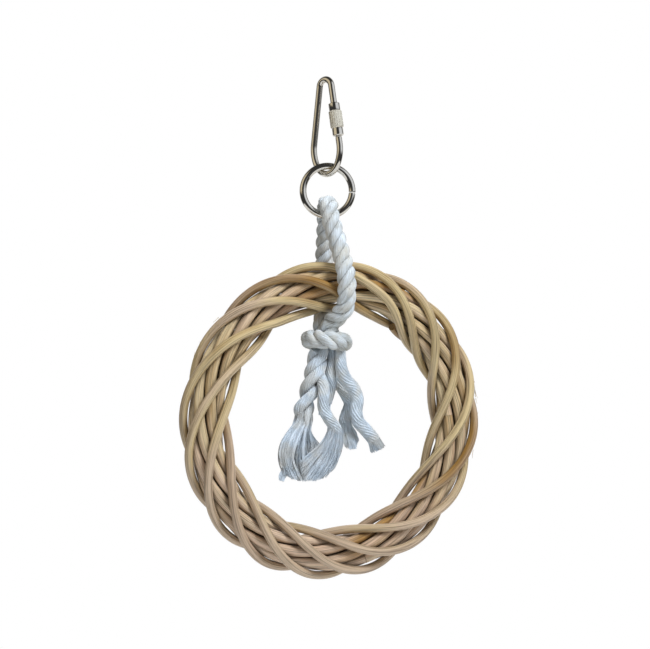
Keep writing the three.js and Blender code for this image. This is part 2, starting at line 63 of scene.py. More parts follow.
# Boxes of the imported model, which give the levels of its pieces
LINK_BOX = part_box("quick_link_body")
RING_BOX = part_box("steel_ring")
KNOT_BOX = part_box("rope_knot")
HOOP_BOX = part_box("core_hoop")

# Quick link and its sleeve nut; angles in degrees, here and below
LINK_WIRE = 3 * MM
LINK_CROWN_RADIUS = 3.5 * MM
LINK_SHOULDER_RADIUS = 15.4 * MM
LINK_BOW_RADIUS = 6.5 * MM
LINK_BOW_HALF_ANGLE = 60
LINK_YAW = -62
LINK_MOUTH = 5.5 * MM
LINK_ARC_STEP = 0.25
THREAD_PITCH = 0.5 * MM
THREAD_DEPTH = 0.14 * MM
THREAD_LENGTH = 4.5 * MM
THREAD_POINTS = 4
SLEEVE_LENGTH = 15 * MM
SLEEVE_GRIP_DIAMETER = 5.9 * MM
SLEEVE_COLLAR_DIAMETER = 5.1 * MM
SLEEVE_COLLAR_LENGTH = 3.6 * MM
SLEEVE_EDGE = 0.35 * MM
SLEEVE_BELOW_CROWN = 8.1 * MM
SLEEVE_HOLD = 3.7 * MM
SLEEVE_CLEARANCE = 0.3 * MM
SLEEVE_SHARP_ANGLE = 40
FLUTES = 18
FLUTE_DEPTH = 0.14 * MM
FLUTE_POINTS = 6
FLUTE_AT_EDGE = 0.6
WIRE_SIDES = 24

# First and last row of the sleeve's faces that are knurled
KNURLED_ROWS = (5, 7)

# Steel ring
RING_DIAMETER = 25.5 * MM
RING_WIRE = 3.2 * MM
RING_YAW = -14
RING_BUTT_ANGLE = -5
RING_BUTT_GAP = 0.2 * MM
RING_BUTT_EDGE = 0.9
RING_ARC_STEP = 1.5

# Rattan ring: the winding goes round the tube as it goes round the ring. Each sway of it has a swing,
# a number of waves round the ring and the place of a peak. Cuts are counted on through all its passes.
CANE_DIAMETER = 3.9 * MM
HOOP_RADIUS = 60 * MM
HOOP_OVAL = 0.8 * MM
HOOP_OVAL_ANGLE = 45
OUTER_PASSES = 5
OUTER_TURNS = 16
OUTER_PHASE = 19
OUTER_SWAY = ((20, 1, 151), (12, 2, -76))
OUTER_CUTS = (54, 813, 1488)
OUTER_OVERLAP = 36
OUTER_LEAD = 32
OUTER_RELAX = 28
OUTER_RELAX_AFTER = 4
OUTER_DEPTH = 8.75 * MM
OUTER_REACH = 9.8 * MM
OUTER_POINTS = 1000
INNER_PASSES = 6
INNER_TURNS = -13
INNER_PHASE = 40
INNER_STAGGER = 90
INNER_DEPTH = 4.4 * MM
INNER_REACH = 5.4 * MM
INNER_FULLNESS = 1.22
INNER_POINTS = 500
CORE_CUT = 200
CORE_POINTS = 200
CANE_BUTT_GAP = 0.1 * MM
CANE_STEP = 1.0 * MM
CANE_SIDES = 20
CANE_FLATS = 5
CANE_FLAT_DEPTH = 0.02
CANE_SEED = 11
CANE_WAVE_MM = (18, 60)
CANE_SWELL = 0.05
CANE_WOBBLE = 0.25 * MM
CANE_TWIST = 0.002
ANY_PHASE = (0, 6.28)

# Splinters: where they stand round the ring and how many, then what each is drawn from
SPLINTERS = ((148, 12), (3, 10), (346, 4))
SPLINTER_AROUND = (-9, 9)
SPLINTER_PHASE = (-25, 25)
SPLINTER_LENGTH_MM = (2, 4.5)
SPLINTER_RISE = (0.02, 0.22)
SPLINTER_TONE = (0, 0.4)
SPLINTER_RADIUS = 0.14 * MM
SPLINTER_TAPER = 0.6
SPLINTER_FOOT = 0.4
SPLINTER_BEHIND = 0.4
SPLINTER_SIDES = 5
SPLINTER_STEPS = 8

# Rope: three strands laid right-handed, each with its yarns twisted the other way
ROPE_DIAMETER = 8.6 * MM
ROPE_LAY = 16.5 * MM
ROPE_STEP = 0.6 * MM
ROPE_STRANDS = 3
ROPE_STRAND_RADIUS = 2.15 * MM
ROPE_PINCHED_HEIGHT = 0.79
ROPE_PINCHED_WIDTH = 1.19
ROPE_PINCHED_STRAND = 0.9
ROPE_ON_WIRE_GAP = 0.5 * MM
ROPE_ON_CANE_GAP = 0.6 * MM
ROPE_TO_KNOT_GAP = 0.6 * MM
BIGHT_ANGLES = (30, 60, 90)
RIM_ANGLES = (40, 15, -10, -35, -55)
RIM_CROSSING_X = 2.2 * MM
LOOP_LAY_PHASE = 0.0
YARNS = 13
YARN_SIDES = 4
YARN_LAY = 30 * MM
YARN_TURN_RATE = -2 * math.pi / YARN_LAY
ROPE_YARN_GROOVE = 0.08
STRAND_YARN_GROOVE = 0.14
KNOT_X = -1.9 * MM
KNOT_TURN_X = 7.3 * MM
KNOT_TURN_Y = 9 * MM
KNOT_CLIMB = 0.9 * MM
KNOT_SLANT = 1.2 * MM
KNOT_FROM = 120
KNOT_SWEEP = 420
KNOT_TUCK = 0.35
KNOT_TUCK_SHARE = 0.14
KNOT_LAY_PHASE = 1.0
KNOT_POINTS = 240

# Loose strands: points from the middle of the knot's underside, in millimetres.
# One rope end keeps its lay for a while: its strands wind round a line, c leaves first, then a and b part.
STRAND_DIAMETER = 4.7 * MM
STRAND_STEP = 0.6 * MM
STRAND_TUCK = 3 * MM
LAID_LINE = (
    (-4.3, -1, 1.2), (-4.6, -1, -1.8), (-5.3, -1, -4.4), (-5.9, -1, -7), (-6.4, -1, -9.6), (-7.1, -1, -12.2),
    (-8.1, -0.8, -15.2), (-9.3, -0.6, -18.4), (-10.6, -0.6, -21.6), (-11.7, -0.8, -24.8), (-12.4, -1, -28.2),
)
LAID_TOP = -1.8
LAID_RADIUS = 2.4
LAID_PITCH = 20.6
LAID_FROM = 45
LAID_POINTS_OF_C = 5
TRIO_ANGLE = 120
PAIR_ANGLE = 180
PAIR_EASE = (7.2, 19.2)
STRAND_A_END = (
    (-16.2, 0.6, -32.4), (-18.6, -1.4, -37), (-20.8, -2.8, -42), (-22, -3.4, -47.6), (-22.6, -3, -54),
)
STRAND_B_END = (
    (-11.8, -3.6, -32), (-12.8, -3.2, -36.5), (-13.3, -2.6, -42), (-13.2, -2, -48.5), (-13.4, -1, -56),
)
STRAND_C_END = (
    (-4, -3.6, -13), (-4.4, -6.7, -16.2), (-5.1, -7.9, -20), (-5.1, -7.7, -24.6), (-2.4, -7, -29.5),
    (0.8, -6.6, -34), (2, -5.9, -39), (-0.2, -5, -44.4), (-2.8, -4, -49.6), (-4.4, -3, -54.6),
)
STRAND_D = (
    (2.9, 0.5, -0.5), (2.5, 0.1, -3.6), (1.7, -0.6, -7), (1.3, -0.8, -10.6), (1.8, -0.2, -14.4),
    (1, 1.4, -19.3), (-0.4, 2, -24), (-0.9, 2.2, -28.5),
)
STRAND_E = (
    (4.8, -4.6, -0.5), (4.7, -4.9, -4), (5, -5.1, -8), (7.2, -4.8, -12.6), (10.8, -4.2, -16.4),
    (12.7, -4, -21.4), (12, -4, -26.6), (13, -4, -31.4), (16.6, -4, -35.4), (20.2, -4, -39.7),
    (22.4, -4, -44.4),
)
STRAND_F = (
    (6.4, 4.6, -0.5), (6.9, 5, -4), (7.6, 5.4, -10), (8.4, 5, -15.2), (10.6, 4.2, -19.6),
    (12, 3.4, -23.6), (9.8, 3.2, -29.6), (8.9, 3, -33.6), (10.6, 3, -42),
)
STRAND_SWELL = {"a": 0.06, "b": 0.06, "c": 0.14, "d": 0.12, "e": 0.28, "f": 0.16}
STRAND_SWELL_BY = 16 * MM
FRAY_LENGTH = {"a": 33, "b": 34, "c": 21, "d": 6, "e": 5, "f": 11}
FRAY_CORE = 0.3
FRAY_THINNING = 0.35
FRAY_SEED = 5

# Fans of frayed fibres: guides that the fibres run between, from the same point, in millimetres
LEFT_FAN = (
    ((-15.0, -0.4, -25.5), (-15.6, -0.6, -30.0), (-19.6, -1.4, -34.4), (-23.6, -2.6, -39.4),
     (-25.2, -3.2, -44.5), (-24.0, -3.0, -50.0), (-21.4, -2.6, -54.6)),
    ((-13.6, -0.6, -25.5), (-14.0, -0.8, -30.5), (-17.2, -1.4, -35.2), (-20.6, -2.2, -40.6),
     (-22.0, -2.4, -46.0), (-20.8, -2.4, -51.6), (-18.4, -2.4, -56.2)),
    ((-12.2, -0.8, -25.5), (-12.6, -1.0, -31.0), (-15.0, -1.0, -36.0), (-17.6, -1.0, -41.6),
     (-18.6, -1.0, -47.0), (-17.4, -1.4, -52.6), (-15.2, -2.0, -57.2)),
    ((-10.9, -1.2, -25.5), (-11.2, -1.4, -31.0), (-12.8, -0.8, -36.4), (-14.0, 0.0, -42.2),
     (-14.4, 0.0, -47.6), (-13.4, -0.8, -53.0), (-11.8, -1.6, -57.8)),
    ((-9.6, -1.6, -25.5), (-9.2, -1.8, -31.0), (-9.9, -0.8, -35.4), (-8.6, 0.4, -40.0),
     (-7.6, 0.8, -44.6), (-7.8, 0.2, -50.4), (-8.4, -1.0, -56.8)),
    ((-8.8, -1.6, -25.5), (-8.5, -1.8, -30.3), (-9.3, -0.8, -34.6), (-6.9, 0.2, -38.1),
     (-4.6, 0.6, -41.4), (-3.6, 0.4, -45.0)),
)
RIGHT_FAN = (
    ((-4.0, -7.0, -29.0), (-2.6, -6.6, -34.0), (-5.4, -4.6, -40.6), (-10.8, -3.0, -45.6),
     (-15.4, -2.6, -48.6)),
    ((-3.2, -7.0, -29.0), (-1.0, -6.6, -34.0), (-5.0, -4.8, -45.0), (-10.4, -3.6, -52.4),
     (-13.6, -3.0, -57.2)),
    ((-2.4, -7.0, -29.0), (0.6, -6.8, -34.0), (-2.6, -5.4, -47.0), (-6.0, -4.4, -53.2),
     (-8.8, -3.4, -57.4)),
    ((-1.6, -7.0, -29.0), (2.2, -6.8, -34.0), (0.8, -5.6, -47.0), (-2.0, -4.6, -52.6),
     (-4.6, -3.6, -56.2)),
    ((-0.8, -7.0, -29.0), (3.6, -6.6, -34.4), (3.9, -5.4, -43.6), (2.2, -4.6, -48.8),
     (0.2, -3.8, -52.4)),
)
BACK_FAN = (
    ((8.0, 3.0, -30.0), (7.0, 2.0, -34.0), (6.4, 0.4, -38.0), (6.6, -0.8, -41.0)),
    ((9.3, 2.6, -30.0), (8.8, 1.2, -34.4), (8.8, -0.6, -39.6), (9.4, -1.8, -44.2)),
    ((10.5, 2.6, -30.0), (10.6, 1.2, -34.4), (11.4, -0.4, -39.4), (12.4, -1.4, -43.8)),
    ((11.8, 3.0, -30.0), (12.4, 2.0, -33.8), (13.8, 0.8, -37.2), (15.2, 0.2, -40.2)),
)
TIP_FAN = (
    ((-19.6, -2.4, -50.0), (-21.2, -2.4, -53.6), (-22.8, -2.4, -57.2)),
    ((-22.4, -2.4, -49.0), (-24.2, -2.4, -53.0), (-24.8, -2.4, -56.6)),
)

# Each fan: name, guides, fibres, locks, half depth at its root and at its belly in millimetres,
# spread of a lock in guides, and the guides between which its fibres are painted darker, as shade in the
# hollow of the brush
FANS = (
    ("frayed_fibres_left", LEFT_FAN, 1150, 90, (2.0, 3.0), 0.06, (2.4, 3.6)),
    ("frayed_fibres_right", RIGHT_FAN, 1050, 80, (1.7, 2.6), 0.05, None),
    ("frayed_fibres_back", BACK_FAN, 520, 16, (1.8, 1.0), 0.14, None),
    ("frayed_fibres_tip", TIP_FAN, 110, 9, (0.6, 0.6), 0.1, None),
)
FAN_STEP = 0.5 * MM
FAN_EDGE = 0.1
FAN_BELLY = 0.75

# A lock of fibres: where it lies in its slot, how closely it keeps to the fan's surface, reach and tone
LOCK_SLOT = (0.1, 0.9)
LOCK_TO_SURFACE = 0.4
LOCK_REACH = (0.95, 1)
LOCK_TONE_SPREAD = 0.25

# Each end that was cut straight across: strand, radius, fibres, length and flare, sizes in millimetres
CUT_ENDS = (("d", 2.3, 110, 8, 0.4), ("e", 2.7, 360, 7, 1.0))
CUT_FIBRE_FULLNESS = 1.2
CUT_FIBRE_TAPER = 0.3
CUT_FIBRE_STRAY = 0.12

# Real cotton fibres are far thinner: these are drawn as coarse as they need to be to show
FIBRE_RADIUS = 0.16 * MM
FIBRE_SIDES = 3
FIBRE_STEPS = 26
FIBRE_START = (0, 0.15)
FIBRE_REACH = (0.95, 1.02)
FIBRE_STRAY = 0.15
FIBRE_CURL_MM = (0.1, 0.8)
FIBRE_WAVE = 7
FIBRE_TAPER = 0.5
FIBRE_TONE_SPREAD = 0.2

# Sweeps: points in a span of a smooth route, a length near nothing, the angle past which an edge is sharp,
# and the tone of a path that is neither light nor dark
SPAN_POINTS = 24
TINY = 1e-9
SWEEP_SHARP_ANGLE = 55
MID_TONE = 0.5

# Camera: the photograph's frame, its millimetres per pixel and where the toy's axis runs in it
IMAGE_WIDTH = 650
IMAGE_HEIGHT = 649
MM_PER_PIXEL = 0.45
CAMERA_AZIMUTH = -21.5
CAMERA_ROLL = 1.1
CAMERA_DISTANCE = 1.0
SENSOR = 36
ORIGIN_PIXEL = (325.5, 82.8)

# Floor: its level, its radius, and the distances to which it is plain paper and by which it is lost in white
FLOOR_LEVEL = -0.36
FLOOR_RADIUS = 0.6
FLOOR_SIDES = 64
PAPER_TO = 0.15
WHITE_BY = 0.5

# Light from all round on matt pieces, and the level of the dim room that polished metal sees
AMBIENT = "#5C5548"
ROOM = 0.05

# What polished metal sees in that room: azimuth from the camera, cosines where a card begins and is full,
# heights where it begins and is full, level and tint. All cards end between the same heights.
CARDS = (
    (180, 0.45, 0.80, -2.0, -1.5, 1.0, "#FFFFFF"),
    (65, 0.70, 0.90, -0.22, 0.04, 1.0, "#F2F7FF"),
    (-62, 0.78, 0.95, -0.10, 0.10, 0.80, "#FFF1D2"),
)
CARD_TOPS = (0.55, 0.85)

# Soft boxes: azimuth and height angle as seen from the toy, distance, size, watts and colour
SOFT_BOXES = (
    ("key_box", 20, 42, 0.9, 0.3, 8.1, "#EEF5FF"),
    ("front_box", -45, 12, 1.1, 0.6, 2.2, "#EDF4FF"),
    ("top_box", -10, 80, 0.9, 0.6, 2.6, "#FFFFFF"),
    ("back_box", 165, 30, 1.1, 0.7, 4.4, "#FFFFFF"),
)

# Patterns of the rattan: width across the cane and length along it
CANE_FIBRES = (0.4 * MM, 25 * MM)
CANE_BANDS = (1.6 * MM, 70 * MM)
CANE_DRIFT = (9 * MM, 45 * MM)
CANE_BLUSH = (12 * MM, 60 * MM)
CANE_BAND_WEIGHT = 1.2
CANE_DRIFT_WEIGHT = 2.2
# Reach and depth of the shade painted where canes press together
CANE_SHADE_REACH = 3 * MM
CANE_CREVICE_SHADE = 0.65
CANE_PORES = 0.45 * MM

# Patterns of the cotton: its fibres are drawn as coarse as they need to be to show
COTTON_FIBRES = (0.24 * MM, 3 * MM)
COTTON_FIBRE_WEIGHT = 1.3
COTTON_TONE_WEIGHT = 0.5
COTTON_SHIFT = 40
COTTON_PATCH = 6 * MM
CREAM_PATCH = 9 * MM
SEED_SPACING = 1.5 * MM
# Reach of the shade painted in the rope's lay
COTTON_SHADE_REACH = 1.5 * MM

# Dull patches of the nickel plate, and how much smoother or rougher they are
NICKEL_WEAR = 4 * MM
NICKEL_WEAR_RANGE = (0.8, 1.25)

# Openness of a surface at which the painted shade is full and at which there is none
CREVICE_FULL_SHADE = 0.2
CREVICE_NO_SHADE = 0.75
CREVICE_SAMPLES = 8

# Levels worked out from the boxes and the sizes above
LEVEL_RING = (RING_BOX[0].z + RING_BOX[1].z) / 2
LEVEL_RING_BOTTOM = RING_BOX[0].z + RING_WIRE / 2
LEVEL_HOOP = (HOOP_BOX[0].z + HOOP_BOX[1].z) / 2
LEVEL_RIM = LEVEL_HOOP + HOOP_RADIUS
LEVEL_KNOT = (KNOT_BOX[0].z + KNOT_BOX[1].z) / 2
KNOT_HALF_HEIGHT = ROPE_DIAMETER / 2 + KNOT_CLIMB
LEVEL_KNOT_TOP = LEVEL_KNOT + KNOT_HALF_HEIGHT
LEVEL_KNOT_BOTTOM = LEVEL_KNOT - KNOT_HALF_HEIGHT


def node(tree, kind, inputs=None, **settings):
    """Add a node, apply its settings, and set or link each named input."""
    made = tree.nodes.new(kind)
    for name, value in settings.items():
        setattr(made, name, value)
    for key, value in (inputs or {}).items():
        if isinstance(value, bpy.types.NodeSocket):
            tree.links.new(value, made.inputs[key])
        else:
            made.inputs[key].default_value = value
    return made


def colour(code):
    """Linear colour of an sRGB hex value."""
    channels = [int(code[i:i + 2], 16) / 255 for i in (1, 3, 5)]
    return [c / 12.92 if c <= 0.04045 else ((c + 0.055) / 1.055) ** 2.4 for c in channels] + [1]


# Camera, stage and light

def place_camera():
    """The camera looks level at the toy, from the front and a little to the left, and is rolled a little."""
    camera = bpy.data.objects.new("camera", bpy.data.cameras.new("camera"))
    turn = math.radians(CAMERA_AZIMUTH)
    right = Vector((math.cos(turn), math.sin(turn), 0))
    ahead = Vector((-math.sin(turn), math.cos(turn), 0))
    tilt = math.radians(CAMERA_ROLL)
    across = (IMAGE_WIDTH / 2 - ORIGIN_PIXEL[0]) * MM_PER_PIXEL * MM
    down = (IMAGE_HEIGHT / 2 - ORIGIN_PIXEL[1]) * MM_PER_PIXEL * MM
    aim = right * (across * math.cos(tilt) - down * math.sin(tilt))
    aim.z = -(across * math.sin(tilt) + down * math.cos(tilt))
    up = Vector((0, 0, math.cos(tilt))) + right * math.sin(tilt)
    side = ahead.cross(up)
    camera.matrix_world = Matrix((side, up, -ahead)).transposed().to_4x4()
    camera.location = aim - ahead * CAMERA_DISTANCE
    camera.data.sensor_width = SENSOR
    camera.data.lens = SENSOR * CAMERA_DISTANCE / (IMAGE_WIDTH * MM_PER_PIXEL * MM)
    bpy.context.scene.collection.objects.link(camera)
    bpy.context.scene.camera = camera


def white_paper():
    """Matt white paper: bright and even near the toy, with its rim lost in the white behind it."""
    material = bpy.data.materials.new("white_paper_floor")
    material.use_nodes = True
    tree = material.node_tree
    tree.nodes.clear()
    paper = node(tree, "ShaderNodeBsdfDiffuse", {"Color": colour("#F4F4F2")})
    white = node(tree, "ShaderNodeEmission", {"Strength": 1.0})
    place = node(tree, "ShaderNodeTexCoord")
    reach = node(tree, "ShaderNodeVectorMath", {0: place.outputs["Object"]}, operation="LENGTH")
    rim = node(tree, "ShaderNodeMapRange",
               {"Value": reach.outputs["Value"], "From Min": PAPER_TO, "From Max": WHITE_BY},
               interpolation_type="SMOOTHSTEP")
    rays = node(tree, "ShaderNodeLightPath")
    seen = rays.outputs["Is Camera Ray"]
    for kind in ("Is Glossy Ray", "Is Transmission Ray"):
        seen = node(tree, "ShaderNodeMath", {0: seen, 1: rays.outputs[kind]}, operation="MAXIMUM").outputs[0]
    share = node(tree, "ShaderNodeMath", {0: seen, 1: rim.outputs["Result"]}, operation="MULTIPLY")
    blend = node(tree, "ShaderNodeMixShader", {0: share.outputs[0], 1: paper.outputs[0], 2: white.outputs[0]})
    node(tree, "ShaderNodeOutputMaterial", {"Surface": blend.outputs[0]})
    return material


def lay_floor():
    """A round sheet of paper lies below the hanging toy."""
    rim = [2 * math.pi * i / FLOOR_SIDES for i in range(FLOOR_SIDES)]
    points = [(FLOOR_RADIUS * math.cos(a), FLOOR_RADIUS * math.sin(a), 0) for a in rim]
    mesh = bpy.data.meshes.new("floor")
    mesh.from_pydata(points, [], [list(range(len(points)))])
    mesh.materials.append(white_paper())
    floor = bpy.data.objects.new("floor", mesh)
    floor.location.z = FLOOR_LEVEL
    bpy.context.scene.collection.objects.link(floor)


def light_world():
    """White to the camera; polished metal sees a white backdrop and two tall cards in a dim room."""
    world = bpy.data.worlds.new("studio")
    bpy.context.scene.world = world
    world.use_nodes = True
    tree = world.node_tree
    tree.nodes.clear()
    rays = node(tree, "ShaderNodeLightPath")
    way = node(tree, "ShaderNodeTexCoord").outputs["Generated"]
    level_way = node(tree, "ShaderNodeVectorMath", {0: way, 1: (1, 1, 0)}, operation="MULTIPLY")
    level_way = node(tree, "ShaderNodeVectorMath", {0: level_way.outputs[0]}, operation="NORMALIZE")
    height = node(tree, "ShaderNodeSeparateXYZ", {0: way}).outputs["Z"]
    low = node(tree, "ShaderNodeMapRange",
               {"Value": height, "From Min": CARD_TOPS[0], "From Max": CARD_TOPS[1],
                "To Min": 1.0, "To Max": 0.0},
               interpolation_type="SMOOTHSTEP")
    room = node(tree, "ShaderNodeCombineColor", {0: ROOM, 1: ROOM, 2: ROOM}).outputs[0]
    for azimuth, edge, full, foot, risen, strength, tint in CARDS:
        turn = math.radians(CAMERA_AZIMUTH + azimuth)
        towards = (math.sin(turn), -math.cos(turn), 0)
        facing = node(tree, "ShaderNodeVectorMath", {0: level_way.outputs[0], 1: towards},
                      operation="DOT_PRODUCT")
        wide = node(tree, "ShaderNodeMapRange",
                    {"Value": facing.outputs["Value"], "From Min": edge, "From Max": full,
                     "To Max": strength},
                    interpolation_type="SMOOTHSTEP")
        rise = node(tree, "ShaderNodeMapRange", {"Value": height, "From Min": foot, "From Max": risen},
                    interpolation_type="SMOOTHSTEP")
        card = node(tree, "ShaderNodeMath", {0: wide.outputs["Result"], 1: rise.outputs["Result"]},
                    operation="MULTIPLY")
        card = node(tree, "ShaderNodeMath", {0: card.outputs[0], 1: low.outputs["Result"]},
                    operation="MULTIPLY")
        room = node(tree, "ShaderNodeMix", {"Factor": card.outputs[0], 6: room, 7: colour(tint)},
                    data_type="RGBA").outputs[2]
    mirrored = node(tree, "ShaderNodeMath",
                    {0: rays.outputs["Is Glossy Ray"], 1: rays.outputs["Is Transmission Ray"]},
                    operation="MAXIMUM")
    around = node(tree, "ShaderNodeMix", {"Factor": mirrored.outputs[0], 6: colour(AMBIENT), 7: room},
                  data_type="RGBA")
    seen = node(tree, "ShaderNodeMix",
                {"Factor": rays.outputs["Is Camera Ray"], 6: around.outputs[2], 7: colour("#FFFFFF")},
                data_type="RGBA")
    sky = node(tree, "ShaderNodeBackground", {"Color": seen.outputs[2], "Strength": 1.0})
    node(tree, "ShaderNodeOutputWorld", {"Surface": sky.outputs[0]})


def hang_soft_boxes():
    """Soft boxes round the toy, which neither the camera nor polished metal sees."""
    middle = (CAD_BOX[0] + CAD_BOX[1]) / 2
    for name, azimuth, height, distance, size, watts, tint in SOFT_BOXES:
        lamp = bpy.data.lights.new(name, "AREA")
        lamp.size = size
        lamp.energy = watts
        lamp.color = colour(tint)[:3]
        box = bpy.data.objects.new(name, lamp)
        turn = math.radians(azimuth)
        rise = math.radians(height)
        away = Vector((math.sin(turn) * math.cos(rise), -math.cos(turn) * math.cos(rise), math.sin(rise)))
        box.location = middle + away * distance
        box.rotation_euler = away.to_track_quat("Z", "Y").to_euler()
        box.visible_camera = False
        box.visible_glossy = False
        bpy.context.scene.collection.objects.link(box)


# Materials

def new_material(name):
    """A material with its node tree and its shader."""
    material = bpy.data.materials.new(name)
    material.use_nodes = True
    tree = material.node_tree
    return material, tree, tree.nodes["Principled BSDF"]


def painted_crevice_shade(tree, skin, dark, reach, depth):
    """Painted shade: a surface is darkened where another lies close to it, as shade falls in crevices."""
    nearby = node(tree, "ShaderNodeAmbientOcclusion", {"Distance": reach}, samples=CREVICE_SAMPLES)
    crevice_shade = node(tree, "ShaderNodeMapRange",
                 {"Value": nearby.outputs["AO"], "From Min": CREVICE_FULL_SHADE, "From Max": CREVICE_NO_SHADE,
                  "To Min": depth, "To Max": 0.0})
    return node(tree, "ShaderNodeMix",
                {"Factor": crevice_shade.outputs["Result"], 6: skin.outputs[2], 7: colour(dark)}, data_type="RGBA")


def rattan(name, pale, golden, rosy, dark):
    """Peeled rattan cane, satin: fine lengthwise fibres, dark hairline streaks, and a tone that drifts along
    it, with painted light making it rosier low on the ring. Shade is painted where canes press together."""
    material, tree, shader = new_material(name)
    straight = node(tree, "ShaderNodeAttribute", attribute_name="straight").outputs["Vector"]
    tone = node(tree, "ShaderNodeAttribute", attribute_name="tone").outputs["Fac"]

    def grain(across, along, detail):
        way = node(tree, "ShaderNodeMapping",
                   {"Vector": straight, "Scale": (1 / across, 1 / across, 1 / along)})
        noise = node(tree, "ShaderNodeTexNoise",
                     {"Vector": way.outputs[0], "Scale": 1.0, "Detail": detail, "Roughness": 0.6})
        return noise.outputs["Fac"]

    fibres = grain(*CANE_FIBRES, 3.0)
    bands = grain(*CANE_BANDS, 2.0)
    drift = grain(*CANE_DRIFT, 2.0)
    blush = grain(*CANE_BLUSH, 1.0)
    shade = node(tree, "ShaderNodeMath", {0: drift, 1: CANE_DRIFT_WEIGHT, 2: tone}, operation="MULTIPLY_ADD")
    shade = node(tree, "ShaderNodeMath", {0: bands, 1: CANE_BAND_WEIGHT, 2: shade.outputs[0]},
                 operation="MULTIPLY_ADD")
    body = node(tree, "ShaderNodeMapRange", {"Value": shade.outputs[0], "From Min": 1.85, "From Max": 2.65})
    base = node(tree, "ShaderNodeMix",
                {"Factor": body.outputs["Result"], 6: colour(pale), 7: colour(golden)}, data_type="RGBA")
    # Painted light: the lower half of the ring is tinted rosier, more so towards the bottom
    place = node(tree, "ShaderNodeTexCoord").outputs["Object"]
    height = node(tree, "ShaderNodeSeparateXYZ", {0: place}).outputs["Z"]
    low = node(tree, "ShaderNodeMapRange",
               {"Value": height, "From Min": LEVEL_HOOP - HOOP_RADIUS, "From Max": LEVEL_HOOP, "To Min": 0.19,
                "To Max": 0.0})
    warm = node(tree, "ShaderNodeMath", {0: blush, 1: low.outputs["Result"]}, operation="ADD")
    warm = node(tree, "ShaderNodeMapRange",
                {"Value": warm.outputs[0], "From Min": 0.48, "From Max": 0.66, "To Max": 0.85})
    base = node(tree, "ShaderNodeMix",
                {"Factor": warm.outputs["Result"], 6: base.outputs[2], 7: colour(rosy)}, data_type="RGBA")
    streak = node(tree, "ShaderNodeMapRange",
                  {"Value": fibres, "From Min": 0.30, "From Max": 0.55, "To Min": 0.75, "To Max": 0.0})
    skin = node(tree, "ShaderNodeMix",
                {"Factor": streak.outputs["Result"], 6: base.outputs[2], 7: colour(dark)}, data_type="RGBA")
    # Painted shade where canes press together
    skin = painted_crevice_shade(tree, skin, dark, CANE_SHADE_REACH, CANE_CREVICE_SHADE)
    gloss = node(tree, "ShaderNodeMapRange", {"Value": fibres, "To Min": 0.52, "To Max": 0.3})
    bump = node(tree, "ShaderNodeBump", {"Height": fibres, "Strength": 0.5, "Distance": 0.15 * MM})
    tree.links.new(skin.outputs[2], shader.inputs["Base Color"])
    tree.links.new(gloss.outputs["Result"], shader.inputs["Roughness"])
    tree.links.new(bump.outputs["Normal"], shader.inputs["Normal"])
    shader.inputs["Specular IOR Level"].default_value = 0.85
    return material


def cut_cane():
    """Cut end of a rattan cane: dry brown pith with open pores."""
    material, tree, shader = new_material("rattan_cut_end")
    place = node(tree, "ShaderNodeTexCoord")
    pores = node(tree, "ShaderNodeTexVoronoi", {"Vector": place.outputs["Object"], "Scale": 1 / CANE_PORES})
    pit = node(tree, "ShaderNodeMapRange",
               {"Value": pores.outputs["Distance"], "From Min": 0.1, "From Max": 0.5})
    skin = node(tree, "ShaderNodeMix",
                {"Factor": pit.outputs["Result"], 6: colour("#4A3420"), 7: colour("#8F7248")},
                data_type="RGBA")
    tree.links.new(skin.outputs[2], shader.inputs["Base Color"])
    shader.inputs["Roughness"].default_value = 0.85
    return material


